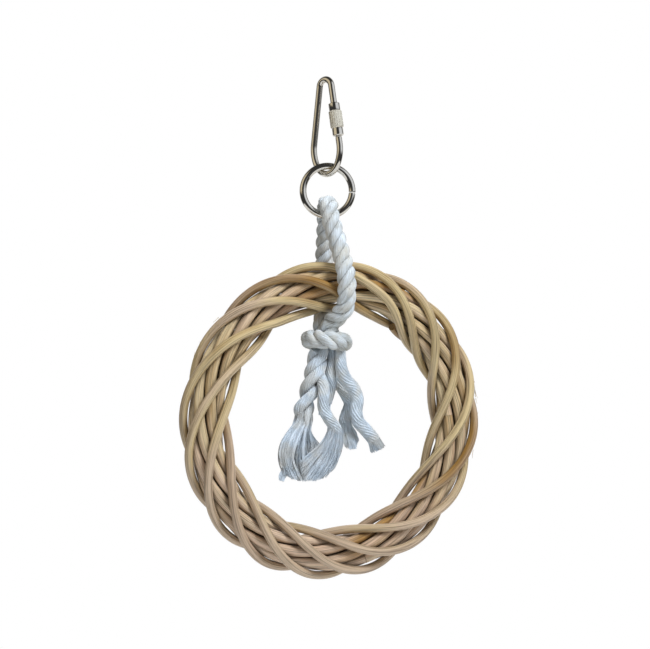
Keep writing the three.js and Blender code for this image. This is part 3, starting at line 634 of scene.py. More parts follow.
def cotton(name, light, shade, warm, fuzz, crevice_shade):
    """Undyed twisted cotton yarn: matt, faintly cool white, with fine fibres along each yarn that differ from
    yarn to yarn, cream patches with a few brown seed specks, and painted shade in the lay where the piece has
    one."""
    material, tree, shader = new_material(name)
    straight = node(tree, "ShaderNodeAttribute", attribute_name="straight").outputs["Vector"]
    tone = node(tree, "ShaderNodeAttribute", attribute_name="tone").outputs["Fac"]
    shift = node(tree, "ShaderNodeVectorMath", {0: (0, 0, COTTON_SHIFT), "Scale": tone}, operation="SCALE")
    across, along = COTTON_FIBRES
    way = node(tree, "ShaderNodeMapping",
               {"Vector": straight, "Location": shift.outputs[0],
                "Scale": (1 / across, 1 / across, 1 / along)})
    fibres = node(tree, "ShaderNodeTexNoise", {"Vector": way.outputs[0], "Scale": 1.0, "Detail": 3.0})
    place = node(tree, "ShaderNodeTexCoord").outputs["Object"]
    patch = node(tree, "ShaderNodeTexNoise", {"Vector": place, "Scale": 1 / COTTON_PATCH, "Detail": 3.0})
    mixed = node(tree, "ShaderNodeMath",
                 {0: fibres.outputs["Fac"], 1: COTTON_FIBRE_WEIGHT, 2: patch.outputs["Fac"]},
                 operation="MULTIPLY_ADD")
    mixed = node(tree, "ShaderNodeMath", {0: tone, 1: COTTON_TONE_WEIGHT, 2: mixed.outputs[0]},
                 operation="MULTIPLY_ADD")
    depth = node(tree, "ShaderNodeMapRange", {"Value": mixed.outputs[0], "From Min": 1.1, "From Max": 1.7})
    skin = node(tree, "ShaderNodeMix",
                {"Factor": depth.outputs["Result"], 6: colour(shade), 7: colour(light)}, data_type="RGBA")
    hue = node(tree, "ShaderNodeTexNoise", {"Vector": place, "Scale": 1 / CREAM_PATCH, "Detail": 2.0})
    cream = node(tree, "ShaderNodeMapRange",
                 {"Value": hue.outputs["Fac"], "From Min": 0.46, "From Max": 0.62, "To Max": 0.55})
    skin = node(tree, "ShaderNodeMix",
                {"Factor": cream.outputs["Result"], 6: skin.outputs[2], 7: colour(warm)}, data_type="RGBA")
    specks = node(tree, "ShaderNodeTexVoronoi", {"Vector": place, "Scale": 1 / SEED_SPACING})
    speck = node(tree, "ShaderNodeMapRange",
                 {"Value": specks.outputs["Distance"], "From Min": 0.1, "From Max": 0.22, "To Min": 0.75,
                  "To Max": 0.0})
    seedy = node(tree, "ShaderNodeMath", {0: speck.outputs["Result"], 1: cream.outputs["Result"]},
                 operation="MULTIPLY")
    skin = node(tree, "ShaderNodeMix",
                {"Factor": seedy.outputs[0], 6: skin.outputs[2], 7: colour("#8C7458")}, data_type="RGBA")
    # Painted shade in grey-brown, in the rope's lay where its strands meet
    if crevice_shade:
        skin = painted_crevice_shade(tree, skin, "#6E6C66", COTTON_SHADE_REACH, crevice_shade)
    bump = node(tree, "ShaderNodeBump",
                {"Height": fibres.outputs["Fac"], "Strength": fuzz, "Distance": 0.25 * MM})
    tree.links.new(skin.outputs[2], shader.inputs["Base Color"])
    tree.links.new(bump.outputs["Normal"], shader.inputs["Normal"])
    shader.inputs["Roughness"].default_value = 0.92
    shader.inputs["Specular IOR Level"].default_value = 0.15
    shader.inputs["Sheen Weight"].default_value = 0.2
    return material


def nickel(name, tint, roughness, metallic=1.0):
    """Bright nickel plate on steel: mirror-like and faintly warm, a little duller in patches. On a knurl
    too fine to show, it is rough and less metallic, because its facets scatter what they mirror."""
    material, tree, shader = new_material(name)
    place = node(tree, "ShaderNodeTexCoord")
    wear = node(tree, "ShaderNodeTexNoise",
                {"Vector": place.outputs["Object"], "Scale": 1 / NICKEL_WEAR, "Detail": 2.0})
    smooth, rough = NICKEL_WEAR_RANGE
    gloss = node(tree, "ShaderNodeMapRange",
                 {"Value": wear.outputs["Fac"], "To Min": roughness * smooth, "To Max": roughness * rough})
    tree.links.new(gloss.outputs["Result"], shader.inputs["Roughness"])
    shader.inputs["Base Color"].default_value = colour(tint)
    shader.inputs["Metallic"].default_value = metallic
    return material


# Paths

def smooth_route(points, step):
    """Centripetal Catmull-Rom curve through points, with a point every step along it."""
    points = [Vector(point) for point in points]
    guides = [2 * points[0] - points[1], *points, 2 * points[-1] - points[-2]]
    fine = []
    for before, start, end, after in zip(guides, guides[1:], guides[2:], guides[3:]):
        d0, d1, d2 = (math.sqrt((b - a).length) for a, b in ((before, start), (start, end), (end, after)))
        leave = ((start - before) / d0 - (end - before) / (d0 + d1) + (end - start) / d1) * d1
        arrive = ((end - start) / d1 - (after - start) / (d1 + d2) + (after - end) / d2) * d1
        for k in range(SPAN_POINTS):
            t = k / SPAN_POINTS
            fine.append(start * (2 * t**3 - 3 * t**2 + 1) + leave * (t**3 - 2 * t**2 + t)
                        + end * (3 * t**2 - 2 * t**3) + arrive * (t**3 - t**2))
    return evenly(fine + [points[-1]], step)


def evenly(points, step):
    """The same path with its points about a step apart."""
    lengths = [0.0]
    for a, b in zip(points, points[1:]):
        lengths.append(lengths[-1] + (b - a).length)
    count = max(2, round(lengths[-1] / step))
    spaced = []
    at = 0
    for i in range(count + 1):
        goal = lengths[-1] * i / count
        while at < len(points) - 2 and lengths[at + 1] < goal:
            at += 1
        share = (goal - lengths[at]) / max(lengths[at + 1] - lengths[at], TINY)
        spaced.append(points[at].lerp(points[at + 1], min(1, share)))
    return spaced


def path_length(points):
    return sum((b - a).length for a, b in zip(points, points[1:]))


def at_share(route, share):
    """The point at a share of a route."""
    place = share * (len(route) - 1)
    i = min(int(place), len(route) - 2)
    return route[i].lerp(route[i + 1], place - i)


def frames_along(points, normal=None):
    """Each point with two directions across the path, carried along without twist."""
    normal = normal or (points[1] - points[0]).orthogonal()
    for i, point in enumerate(points):
        ahead = (points[min(i + 1, len(points) - 1)] - points[max(i - 1, 0)]).normalized()
        normal = (normal - ahead * normal.dot(ahead)).normalized()
        yield point, normal, ahead.cross(normal)


def arc(centre, radius, start, end, step):
    """Points of an arc in the XZ plane, about a step of degrees apart."""
    count = max(2, round(abs(end - start) / step))
    turns = [math.radians(start + (end - start) * i / count) for i in range(count + 1)]
    return [centre + Vector((radius * math.cos(a), 0, radius * math.sin(a))) for a in turns]


def turned(points, yaw):
    """Points turned about the line that the toy hangs on."""
    spin = Matrix.Rotation(math.radians(yaw), 3, "Z")
    return [spin @ point for point in points]


def smoothstep(value, low, high):
    """0 below low, 1 above high, and smooth between them."""
    t = min(1, max(0, (value - low) / (high - low)))
    return t * t * (3 - 2 * t)


# Sweep: one node tree draws a lobed section along every path of a piece

def sweep_tree():
    """Keeps, as the attribute straight, where each point would lie if its path were pulled straight."""
    tree = bpy.data.node_groups.new("sweep_section_along_paths", "GeometryNodeTree")
    tree.is_modifier = True
    sockets = {"Paths": "NodeSocketGeometry", "Sides": "NodeSocketInt", "Lobes": "NodeSocketFloat",
               "Groove": "NodeSocketFloat", "Material": "NodeSocketMaterial"}
    for name, kind in sockets.items():
        tree.interface.new_socket(name, in_out="INPUT", socket_type=kind)
    tree.interface.new_socket("Piece", in_out="OUTPUT", socket_type="NodeSocketGeometry")
    given = node(tree, "NodeGroupInput").outputs
    curve = node(tree, "GeometryNodeMeshToCurve", {"Mesh": given["Paths"]})
    spot = node(tree, "GeometryNodeSplineParameter")
    curve = node(tree, "GeometryNodeStoreNamedAttribute",
                 {"Geometry": curve.outputs[0], "Name": "along", "Value": spot.outputs["Length"]})
    turn = node(tree, "GeometryNodeInputNamedAttribute", {"Name": "turn"})
    curve = node(tree, "GeometryNodeSetCurveTilt",
                 {"Curve": curve.outputs[0], "Tilt": turn.outputs["Attribute"]})
    circle = node(tree, "GeometryNodeCurvePrimitiveCircle", {"Resolution": given["Sides"], "Radius": 1.0})
    round_by = node(tree, "ShaderNodeMath", {0: spot.outputs["Factor"], 1: given["Lobes"]},
                    operation="MULTIPLY")
    half_turn = node(tree, "ShaderNodeMath", {0: round_by.outputs[0], 1: math.pi}, operation="MULTIPLY")
    wave = node(tree, "ShaderNodeMath", {0: half_turn.outputs[0]}, operation="SINE")
    lobe = node(tree, "ShaderNodeMath", {0: wave.outputs[0]}, operation="ABSOLUTE")
    sunk = node(tree, "ShaderNodeMapRange",
                {"Value": lobe.outputs[0], "To Min": given["Groove"], "To Max": 0.0})
    kept = node(tree, "ShaderNodeMath", {0: 1.0, 1: sunk.outputs["Result"]}, operation="SUBTRACT")
    here = node(tree, "GeometryNodeInputPosition")
    moved = node(tree, "ShaderNodeVectorMath", {0: here.outputs[0], "Scale": kept.outputs[0]},
                 operation="SCALE")
    section = node(tree, "GeometryNodeSetPosition",
                   {"Geometry": circle.outputs[0], "Position": moved.outputs[0]})
    section = node(tree, "GeometryNodeStoreNamedAttribute",
                   {"Geometry": section.outputs[0], "Name": "section", "Value": here.outputs[0]},
                   data_type="FLOAT_VECTOR")
    thickness = node(tree, "GeometryNodeInputNamedAttribute", {"Name": "thickness"})
    swept = node(tree, "GeometryNodeCurveToMesh",
                 {"Curve": curve.outputs[0], "Profile Curve": section.outputs[0],
                  "Scale": thickness.outputs["Attribute"], "Fill Caps": True})
    across = node(tree, "GeometryNodeInputNamedAttribute", {"Name": "section"}, data_type="FLOAT_VECTOR")
    along = node(tree, "GeometryNodeInputNamedAttribute", {"Name": "along"})
    wide = node(tree, "ShaderNodeVectorMath",
                {0: across.outputs["Attribute"], "Scale": thickness.outputs["Attribute"]}, operation="SCALE")
    flat = node(tree, "ShaderNodeSeparateXYZ", {0: wide.outputs[0]})
    straight = node(tree, "ShaderNodeCombineXYZ",
                    {0: flat.outputs[0], 1: flat.outputs[1], 2: along.outputs["Attribute"]})
    swept = node(tree, "GeometryNodeStoreNamedAttribute",
                 {"Geometry": swept.outputs[0], "Name": "straight", "Value": straight.outputs[0]},
                 data_type="FLOAT_VECTOR")
    swept = node(tree, "GeometryNodeSetShadeSmooth", {"Geometry": swept.outputs[0]})
    real = node(tree, "GeometryNodeRealizeInstances", {"Geometry": swept.outputs[0]})
    done = node(tree, "GeometryNodeSetMaterial",
                {"Geometry": real.outputs[0], "Material": given["Material"]})
    node(tree, "NodeGroupOutput", {0: done.outputs[0]})
    return tree


def run_tree(piece, tree, values):
    """Set a tree's inputs by socket identifier, run it on a piece, and keep its result as a plain mesh."""
    run = piece.modifiers.new(tree.name, "NODES")
    run.node_group = tree
    for socket in tree.interface.items_tree:
        if socket.in_out == "INPUT" and socket.name in values:
            run[socket.identifier] = values[socket.name]
    graph = bpy.context.evaluated_depsgraph_get()
    result = bpy.data.meshes.new_from_object(piece.evaluated_get(graph), preserve_all_data_layers=True,
                                             depsgraph=graph)
    piece.modifiers.clear()
    start = piece.data
    piece.data = result
    bpy.data.meshes.remove(start)
    result.name = piece.name


def sweep_path(route, radii, tone=MID_TONE, turn_rate=0.0):
    """A path for a sweep: its points, radii, turns and tone. Its section turns steadily along it."""
    step = path_length(route) / (len(route) - 1)
    return route, radii, [turn_rate * step * i for i in range(len(route))], tone


def swept_piece(name, paths, material, sides, lobes=0, groove=0.0, cap=None):
    """A piece made of bars, canes or yarns, one along each path."""
    points = []
    edges = []
    values = {"thickness": [], "turn": [], "tone": []}
    for route, radii, turns, tone in paths:
        first = len(points)
        points += route
        edges += [(i, i + 1) for i in range(first, len(points) - 1)]
        values["thickness"] += radii
        values["turn"] += turns
        values["tone"] += [tone] * len(route)
    mesh = bpy.data.meshes.new(name)
    mesh.from_pydata(points, edges, [])
    for key, numbers in values.items():
        mesh.attributes.new(key, "FLOAT", "POINT").data.foreach_set("value", numbers)
    piece = bpy.data.objects.new(name, mesh)
    bpy.context.scene.collection.objects.link(piece)
    run_tree(piece, SWEEP, {"Sides": sides, "Lobes": float(lobes), "Groove": groove, "Material": material})
    piece.data.set_sharp_from_angle(angle=math.radians(SWEEP_SHARP_ANGLE))
    if cap:
        piece.data.materials.append(cap)
        # All faces but the two at the ends have four corners
        for face in piece.data.polygons:
            if len(face.vertices) > 4:
                face.material_index = 1
    return piece


def settle(piece, body, slot, *nodes):
    """A piece rides on its body and takes the place of its solids. Its slot is not used."""
    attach(piece, body)
    if nodes:
        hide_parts(*nodes)


# Loose strands

def under_knot(points):
    """Points given in millimetres from the middle of the knot's underside."""
    return [Vector((KNOT_X + x * MM, y * MM, LEVEL_KNOT_BOTTOM + z * MM)) for x, y, z in points]


def laid_route(trio_angle, pair_angle, ending, count=len(LAID_LINE)):
    """A strand of the laid end winds round its line, at its own angle from strand b, and then leaves it."""
    points = []
    for x, y, z in LAID_LINE[:count]:
        depth = LAID_TOP - z
        angle = math.radians(LAID_FROM - 360 * depth / LAID_PITCH + trio_angle
                             + (pair_angle - trio_angle) * smoothstep(depth, *PAIR_EASE))
        points.append((x + LAID_RADIUS * math.cos(angle), y + LAID_RADIUS * math.sin(angle), z))
    return under_knot([*points, *ending])


def open_route(points):
    """A strand of the opened end comes straight down out of the knot."""
    route = under_knot(points)
    return [route[0] + Vector((0, 0, STRAND_TUCK)), *route]


def strand_radii(route, fray_length, swell):
    """An unlaid strand swells below the knot, then thins out where its fibres leave it."""
    length = path_length(route)
    radii = []
    for i in range(len(route)):
        along = length * i / (len(route) - 1)
        frayed = 1 - (length - along) / fray_length
        fullness = 1 + swell * smoothstep(along, 0, STRAND_SWELL_BY)
        kept = 1 - (1 - FRAY_CORE) * smoothstep(frayed, 0, FRAY_THINNING)
        radii.append(STRAND_DIAMETER / 2 * fullness * kept)
    return radii


def loose_strands(material):
    """The six strands of the two unlaid rope ends. Their routes are returned, by letter."""
    strands = {
        "a": laid_route(-TRIO_ANGLE, -PAIR_ANGLE, STRAND_A_END),
        "b": laid_route(0, 0, STRAND_B_END),
        "c": laid_route(TRIO_ANGLE, TRIO_ANGLE, STRAND_C_END, LAID_POINTS_OF_C),
        "d": open_route(STRAND_D),
        "e": open_route(STRAND_E),
        "f": open_route(STRAND_F),
    }
    routes = {}
    for letter, guides in strands.items():
        route = smooth_route(guides, STRAND_STEP)
        radii = strand_radii(route, FRAY_LENGTH[letter] * MM, STRAND_SWELL[letter])
        strand = swept_piece(f"loose_strand_{letter}", [sweep_path(route, radii, turn_rate=YARN_TURN_RATE)],
                             material, YARNS * YARN_SIDES, YARNS, STRAND_YARN_GROOVE)
        settle(strand, "rope", "cotton_rope", f"tail_strand_{letter}")
        path_length(route)
        routes[letter] = route
    return routes


def fan(name, guides, count, locks, depth, spread, shaded_hollow, chance, material):
    """Fibres of a frayed end: each keeps to its lock, and the locks fan out between the guides."""
    curves = [smooth_route(under_knot(guide), FAN_STEP) for guide in guides]
    last = len(curves) - 1
    held = []
    for i in range(locks):
        held.append({
            "across": (i + chance.uniform(*LOCK_SLOT)) / locks * last,
            "deep": chance.choice((-1, 1)) * chance.uniform(0, 1) ** LOCK_TO_SURFACE,
            "reach": chance.uniform(*LOCK_REACH),
            "swing": chance.uniform(*ANY_PHASE),
            "tone": chance.gauss(MID_TONE, LOCK_TONE_SPREAD),
        })
    fibres = []
    for _ in range(count):
        lock = chance.choice(held)
        across = min(last, max(0, lock["across"] + chance.gauss(0, spread)))
        deep = lock["deep"] + chance.gauss(0, FIBRE_STRAY)
        start = chance.uniform(*FIBRE_START)
        end = min(1, lock["reach"] * chance.uniform(*FIBRE_REACH))
        curl = chance.uniform(*FIBRE_CURL_MM) * MM
        first = min(int(across), last - 1)
        thin = math.sqrt(max(FAN_EDGE, 1 - (2 * across / last - 1) ** 2))
        route = []
        radii = []
        for k in range(FIBRE_STEPS + 1):
            t = start + (end - start) * k / FIBRE_STEPS
            point = at_share(curves[first], t).lerp(at_share(curves[first + 1], t), across - first)
            bulge = depth[0] + (depth[1] - depth[0]) * math.sin(math.pi * min(1, FAN_BELLY * t))
            point.y += deep * thin * bulge * MM
            point.x += curl * t * math.sin(FIBRE_WAVE * t + lock["swing"])
            route.append(point)
            radii.append(FIBRE_RADIUS * (1 - FIBRE_TAPER * k / FIBRE_STEPS))
        tone = lock["tone"] + chance.gauss(0, FIBRE_TONE_SPREAD)
        # Painted shade: fibres in the hollow of the brush are darker
        if shaded_hollow:
            tone -= smoothstep(across, *shaded_hollow)
        fibres.append(sweep_path(route, radii, tone))
    piece = swept_piece(name, fibres, material, FIBRE_SIDES)
    settle(piece, "rope", "cotton_rope")


def cut_tuft(name, route, radius, count, length, flare, chance, material):
    """Fibres of a strand that was cut straight across: they stay side by side and open a little."""
    steps = round(length / STRAND_STEP)
    fibres = []
    frames = list(frames_along(route))[-steps - 1:]
    for _ in range(count):
        angle = chance.uniform(0, 2 * math.pi)
        off = math.sqrt(chance.uniform(0, 1))
        stray = chance.gauss(0, CUT_FIBRE_STRAY)
        stop = chance.choice((steps, steps, steps - 1, steps - 2)) + 1
        path = []
        radii = []
        for k, (point, normal, side) in enumerate(frames[:stop]):
            t = k / steps
            reach = off * (radius + flare * t * t)
            turn = angle + stray * t
            path.append(point + normal * reach * math.cos(turn) + side * reach * math.sin(turn))
            radii.append(FIBRE_RADIUS * CUT_FIBRE_FULLNESS * (1 - CUT_FIBRE_TAPER * k / steps))
        fibres.append(sweep_path(path, radii, chance.uniform(0, 1)))
    piece = swept_piece(name, fibres, material, FIBRE_SIDES)
    settle(piece, "rope", "cotton_rope")


def frayed_ends(routes, material):
    """Strands a, b and c open into one brush with a stray tip, f opens behind, and d and e are cut."""
    chance = random.Random(FRAY_SEED)
    for row in FANS:
        fan(*row, chance, material)
    for letter, radius, count, length, flare in CUT_ENDS:
        cut_tuft(f"frayed_fibres_{letter}", routes[letter], radius * MM, count, length * MM, flare * MM,
                 chance, material)


# Rope loop and knot

def rope_fullness(pinched, quarter_turns):
    """The rope is pinched flat where it bends over the wire, and round again a quarter turn further on."""
    return pinched + (1 - pinched) * smoothstep(quarter_turns, 0, 1)


def rope_from_wire(quarter_turns):
    """Distance from the middle of the wire to the middle of the rope that bends over it."""
    half_height = ROPE_DIAMETER / 2 * rope_fullness(ROPE_PINCHED_HEIGHT, quarter_turns)
    return RING_WIRE / 2 + ROPE_ON_WIRE_GAP + half_height


def rope_leg(side):
    """One leg of the loop, from beside the steel ring's wire down through the knot; side is -1 in front."""
    around_y = OUTER_DEPTH + CANE_DIAMETER / 2 + ROPE_ON_CANE_GAP + ROPE_DIAMETER / 2
    around_z = OUTER_REACH + CANE_DIAMETER / 2 + ROPE_ON_CANE_GAP + ROPE_DIAMETER / 2
    spread = ROPE_DIAMETER / 2 + ROPE_TO_KNOT_GAP
    across = turned([Vector((0, side, 0))], RING_YAW)[0]
    points = []
    for degrees in BIGHT_ANGLES:
        turn = math.radians(degrees)
        bight = rope_from_wire(degrees / 90)
        level = LEVEL_RING_BOTTOM + bight * math.cos(turn)
        points.append(across * bight * math.sin(turn) + Vector((0, 0, level)))
    for degrees in RIM_ANGLES:
        turn = math.radians(degrees)
        level = LEVEL_RIM + around_z * math.sin(turn)
        points.append(Vector((RIM_CROSSING_X, side * around_y * math.cos(turn), level)))
    points[-1].x = (RIM_CROSSING_X + KNOT_X) / 2
    for level in (LEVEL_KNOT_TOP + ROPE_DIAMETER / 4, LEVEL_KNOT_TOP, LEVEL_KNOT_BOTTOM + STRAND_TUCK):
        points.append(Vector((KNOT_X, side * spread, level)))
    return points


def laid(route, radius, lay, phase, turns=None):
    """A right-handed helix round a route: one strand of a rope. It is flattened where turns are few."""
    along = 0
    strand = []
    for i, (point, normal, side) in enumerate(frames_along(route, Vector((1, 0, 0)))):
        if i:
            along += (point - route[i - 1]).length
        angle = phase + 2 * math.pi * along / lay
        wide = radius * rope_fullness(ROPE_PINCHED_WIDTH, turns[i]) if turns else radius
        high = radius * rope_fullness(ROPE_PINCHED_HEIGHT, turns[i]) if turns else radius
        strand.append(point + normal * wide * math.cos(angle) + side * high * math.sin(angle))
    return strand


def three_strands(route, lay_phase, turns=None):
    """The three strands of a laid rope along a route, their yarns twisted against the lay."""
    strands = []
    for i in range(ROPE_STRANDS):
        phase = lay_phase + 2 * math.pi * i / ROPE_STRANDS
        strand = laid(route, ROPE_DIAMETER / 2 - ROPE_STRAND_RADIUS, ROPE_LAY, phase, turns)
        radii = [ROPE_STRAND_RADIUS] * len(strand)
        if turns:
            radii = [ROPE_STRAND_RADIUS * rope_fullness(ROPE_PINCHED_STRAND, turn) for turn in turns]
        strands.append(sweep_path(strand, radii, turn_rate=YARN_TURN_RATE))
    return strands


def rope_loop(material):
    """The doubled rope: up from the knot in front of the rattan, over the wire and down behind."""
    crown = Vector((0, 0, LEVEL_RING_BOTTOM + rope_from_wire(0)))
    route = smooth_route([*reversed(rope_leg(-1)), crown, *rope_leg(1)], ROPE_STEP)
    quarter_turn = math.pi / 2 * rope_from_wire(1)
    middle = (len(route) - 1) / 2
    turns = [abs(i - middle) * ROPE_STEP / quarter_turn for i in range(len(route))]
    loop = swept_piece("laid_rope_loop", three_strands(route, LOOP_LAY_PHASE, turns), material,
                       YARNS * YARN_SIDES, YARNS, ROPE_YARN_GROOVE)
    settle(loop, "rope", "cotton_rope", "rope_loop")


def knot_point(t):
    """The knot's turn goes a little more than once round the legs, slants, and tucks its ends in."""
    angle = math.radians(KNOT_FROM - KNOT_SWEEP * t)
    tuck = max(0, abs(2 * t - 1) - (1 - KNOT_TUCK_SHARE)) / KNOT_TUCK_SHARE
    reach = 1 - KNOT_TUCK * tuck
    return Vector((KNOT_X + KNOT_TURN_X * reach * math.cos(angle), KNOT_TURN_Y * reach * math.sin(angle),
                   LEVEL_KNOT + KNOT_CLIMB * (1 - 2 * t) - KNOT_SLANT * math.cos(angle)))


def rope_knot(material):
    route = evenly([knot_point(i / KNOT_POINTS) for i in range(KNOT_POINTS + 1)], ROPE_STEP)
    knot = swept_piece("laid_rope_knot", three_strands(route, KNOT_LAY_PHASE), material, YARNS * YARN_SIDES,
                       YARNS, ROPE_YARN_GROOVE)
    settle(knot, "rope", "cotton_rope", "rope_knot")


# Rattan ring

def on_tube(angle, phase, reach, depth):
    """A point on a layer of cane: angle goes round the ring, phase goes round the tube."""
    oval = HOOP_OVAL * math.cos(math.radians(2 * (angle - HOOP_OVAL_ANGLE)))
    out = HOOP_RADIUS + oval + reach * math.cos(math.radians(phase))
    return Vector((out * math.cos(math.radians(angle)), depth * math.sin(math.radians(phase)),
                   LEVEL_HOOP + out * math.sin(math.radians(angle))))


def outer_cane(start, end):
    """A cane of the winding: its start lies beside the end of the cane before it, and then eases over."""
    points = []
    for step in range(OUTER_POINTS + 1):
        angle = start - OUTER_OVERLAP + (end - start + OUTER_OVERLAP) * step / OUTER_POINTS
        sway = sum(swing * math.cos(math.radians(times * (angle - peak)))
                   for swing, times, peak in OUTER_SWAY)
        relaxing = start + OUTER_RELAX_AFTER
        eased = smoothstep(angle, relaxing, relaxing + OUTER_RELAX)
        phase = OUTER_PHASE + OUTER_TURNS / OUTER_PASSES * angle + sway + OUTER_LEAD * (1 - eased)
        points.append(on_tube(angle, phase, OUTER_REACH, OUTER_DEPTH))
    return evenly(points, CANE_STEP)


def inner_cane(index):
    """A cane of the layer below, wound the other way. The butts of these canes are staggered."""
    ends = [360 * i + INNER_STAGGER * math.sin(2 * math.pi * i / INNER_PASSES) for i in (index, index + 1)]
    start = ends[0] + math.degrees(CANE_BUTT_GAP / (HOOP_RADIUS - INNER_REACH))
    points = []
    for step in range(INNER_POINTS + 1):
        angle = start + (ends[1] - start) * step / INNER_POINTS
        phase = INNER_PHASE + INNER_TURNS / INNER_PASSES * angle
        points.append(on_tube(angle, phase, INNER_REACH, INNER_DEPTH))
    return evenly(points, CANE_STEP)


def core_hoop():
    """The hoop in the middle of the tube, cut once."""
    butt = math.degrees(CANE_BUTT_GAP / HOOP_RADIUS)
    turn = [CORE_CUT + butt + (360 - butt) * step / CORE_POINTS for step in range(CORE_POINTS + 1)]
    return evenly([on_tube(angle, 0, 0, 0) for angle in turn], CANE_STEP)


def natural_cane(route, chance, fullness):
    """A cane is never quite straight or even: two waves make it wander, and two thicken and thin it."""
    waves = [(chance.uniform(*CANE_WAVE_MM) * MM, chance.uniform(*ANY_PHASE), chance.uniform(-1, 1))
             for _ in range(4)]
    points = []
    radii = []
    for i, (point, normal, side) in enumerate(frames_along(route)):
        along = i * CANE_STEP
        swing = [weight * math.sin(2 * math.pi * along / length + start) / 2
                 for length, start, weight in waves]
        points.append(point + normal * CANE_WOBBLE * swing[0] + side * CANE_WOBBLE * swing[1])
        radii.append(CANE_DIAMETER / 2 * fullness * (1 + CANE_SWELL * (swing[2] + swing[3])))
    return points, radii, [CANE_TWIST * i for i in range(len(points))], chance.uniform(0, 1)


def rattan_ring(outer, inner, core, cut):
    """The winding, the canes below it, the hoop they are wound on, and splinters of the winding."""
    chance = random.Random(CANE_SEED)
    ends = (*OUTER_CUTS[1:], OUTER_CUTS[0] + 360 * OUTER_PASSES)
    canes = [(f"winding_cane_{i + 1}", outer_cane(start, end), outer, "rattan_outer")
             for i, (start, end) in enumerate(zip(OUTER_CUTS, ends))]
    canes += [(f"inner_cane_{i + 1}", inner_cane(i), inner, "rattan_inner") for i in range(INNER_PASSES)]
    canes.append(("core_hoop", core_hoop(), core, "rattan_core"))
    for node_name, route, material, slot in canes:
        fullness = INNER_FULLNESS if material == inner else 1
        piece = swept_piece(f"{node_name}_grained", [natural_cane(route, chance, fullness)], material,
                            CANE_SIDES, CANE_FLATS, CANE_FLAT_DEPTH, cut)
        settle(piece, "rattan", slot, node_name)
    loose_splinters(outer, chance)


def loose_splinters(material, chance):
    """A few hair-thin splinters stand off the outer canes where the photograph shows a rough edge."""
    splinters = []
    for angle, count in SPLINTERS:
        for _ in range(count):
            around = angle + chance.uniform(*SPLINTER_AROUND)
            phase = chance.uniform(*SPLINTER_PHASE)
            foot = on_tube(around, phase, OUTER_REACH + CANE_DIAMETER * SPLINTER_FOOT, OUTER_DEPTH)
            below = on_tube(around, phase, OUTER_REACH, OUTER_DEPTH)
            lie = (on_tube(around + 1, phase, OUTER_REACH, OUTER_DEPTH) - below).normalized()
            out = (on_tube(around, phase, 2 * OUTER_REACH, OUTER_DEPTH) - below).normalized()
            way = chance.choice((-1, 1))
            length = chance.uniform(*SPLINTER_LENGTH_MM) * MM
            rise = chance.uniform(*SPLINTER_RISE)
            route = []
            radii = []
            for k in range(SPLINTER_STEPS + 1):
                t = k / SPLINTER_STEPS
                route.append(foot + lie * way * length * (t - SPLINTER_BEHIND) + out * length * rise * t * t)
                radii.append(SPLINTER_RADIUS * (1 - SPLINTER_TAPER * t))
            splinters.append(sweep_path(route, radii, chance.uniform(*SPLINTER_TONE)))
    piece = swept_piece("loose_rattan_splinters", splinters, material, SPLINTER_SIDES)
    settle(piece, "rattan", "rattan_outer")


# Metal

def link_legs():
    """The link's legs are outer tangents of its crown and of two wide shoulder arcs, which the bow joins."""
    wider = LINK_SHOULDER_RADIUS - LINK_BOW_RADIUS
    meeting = math.radians(LINK_BOW_HALF_ANGLE)
    crown = Vector((0, 0, LINK_WIRE / 2 - LINK_CROWN_RADIUS))
    bow = Vector((0, 0, LINK_BOX[0].z + LINK_WIRE / 2 + LINK_BOW_RADIUS))
    shoulder = Vector((-wider * math.sin(meeting), 0, bow.z + wider * math.cos(meeting)))
    apart = crown - shoulder
    narrowing = LINK_SHOULDER_RADIUS - LINK_CROWN_RADIUS
    lean = math.atan2(apart.z, apart.x) - math.acos(narrowing / apart.length)
    outward = Vector((math.cos(lean), 0, math.sin(lean)))
    top = crown + outward * LINK_CROWN_RADIUS
    bottom = shoulder + outward * LINK_SHOULDER_RADIUS
    return crown, shoulder, bow, math.degrees(lean), top, (bottom - top).normalized()


def quick_link_body(material):
    """The wire runs from the mouth up over the crown, down the whole leg, round the bow and up to the mouth.
    Its ends are grooved all round for the sleeve nut."""
    crown, shoulder, bow, lean, top, down = link_legs()
    meeting = 90 - LINK_BOW_HALF_ANGLE
    mouth_bottom = SLEEVE_BELOW_CROWN + SLEEVE_LENGTH - SLEEVE_HOLD
    far_shoulder = Vector((-shoulder.x, 0, shoulder.z))
    points = [top + down * (mouth_bottom - LINK_MOUTH)]
    points += arc(crown, LINK_CROWN_RADIUS, lean, 180 - lean, LINK_ARC_STEP)
    points += arc(far_shoulder, LINK_SHOULDER_RADIUS, 180 - lean, 180 + meeting, LINK_ARC_STEP)
    points += arc(bow, LINK_BOW_RADIUS, 180 + meeting, 360 - meeting, LINK_ARC_STEP)[1:]
    points += arc(shoulder, LINK_SHOULDER_RADIUS, 360 - meeting, 360 + lean, LINK_ARC_STEP)[1:]
    points.append(top + down * mouth_bottom)
    route = turned(evenly(points, THREAD_PITCH / THREAD_POINTS), LINK_YAW)
    length = path_length(route)
    radii = []
    for i in range(len(route)):
        along = length * i / (len(route) - 1)
        from_end = min(along, length - along)
        groove = math.sin(2 * math.pi * along / THREAD_PITCH) ** 2 if from_end < THREAD_LENGTH else 0
        tip = max(0, 1 - from_end / THREAD_PITCH)
        radii.append(LINK_WIRE / 2 - THREAD_DEPTH * max(groove, tip))
    link = swept_piece("quick_link_wire", [sweep_path(route, radii)], material, WIRE_SIDES)
    settle(link, "link", "nickel_plated_steel", "quick_link_body")


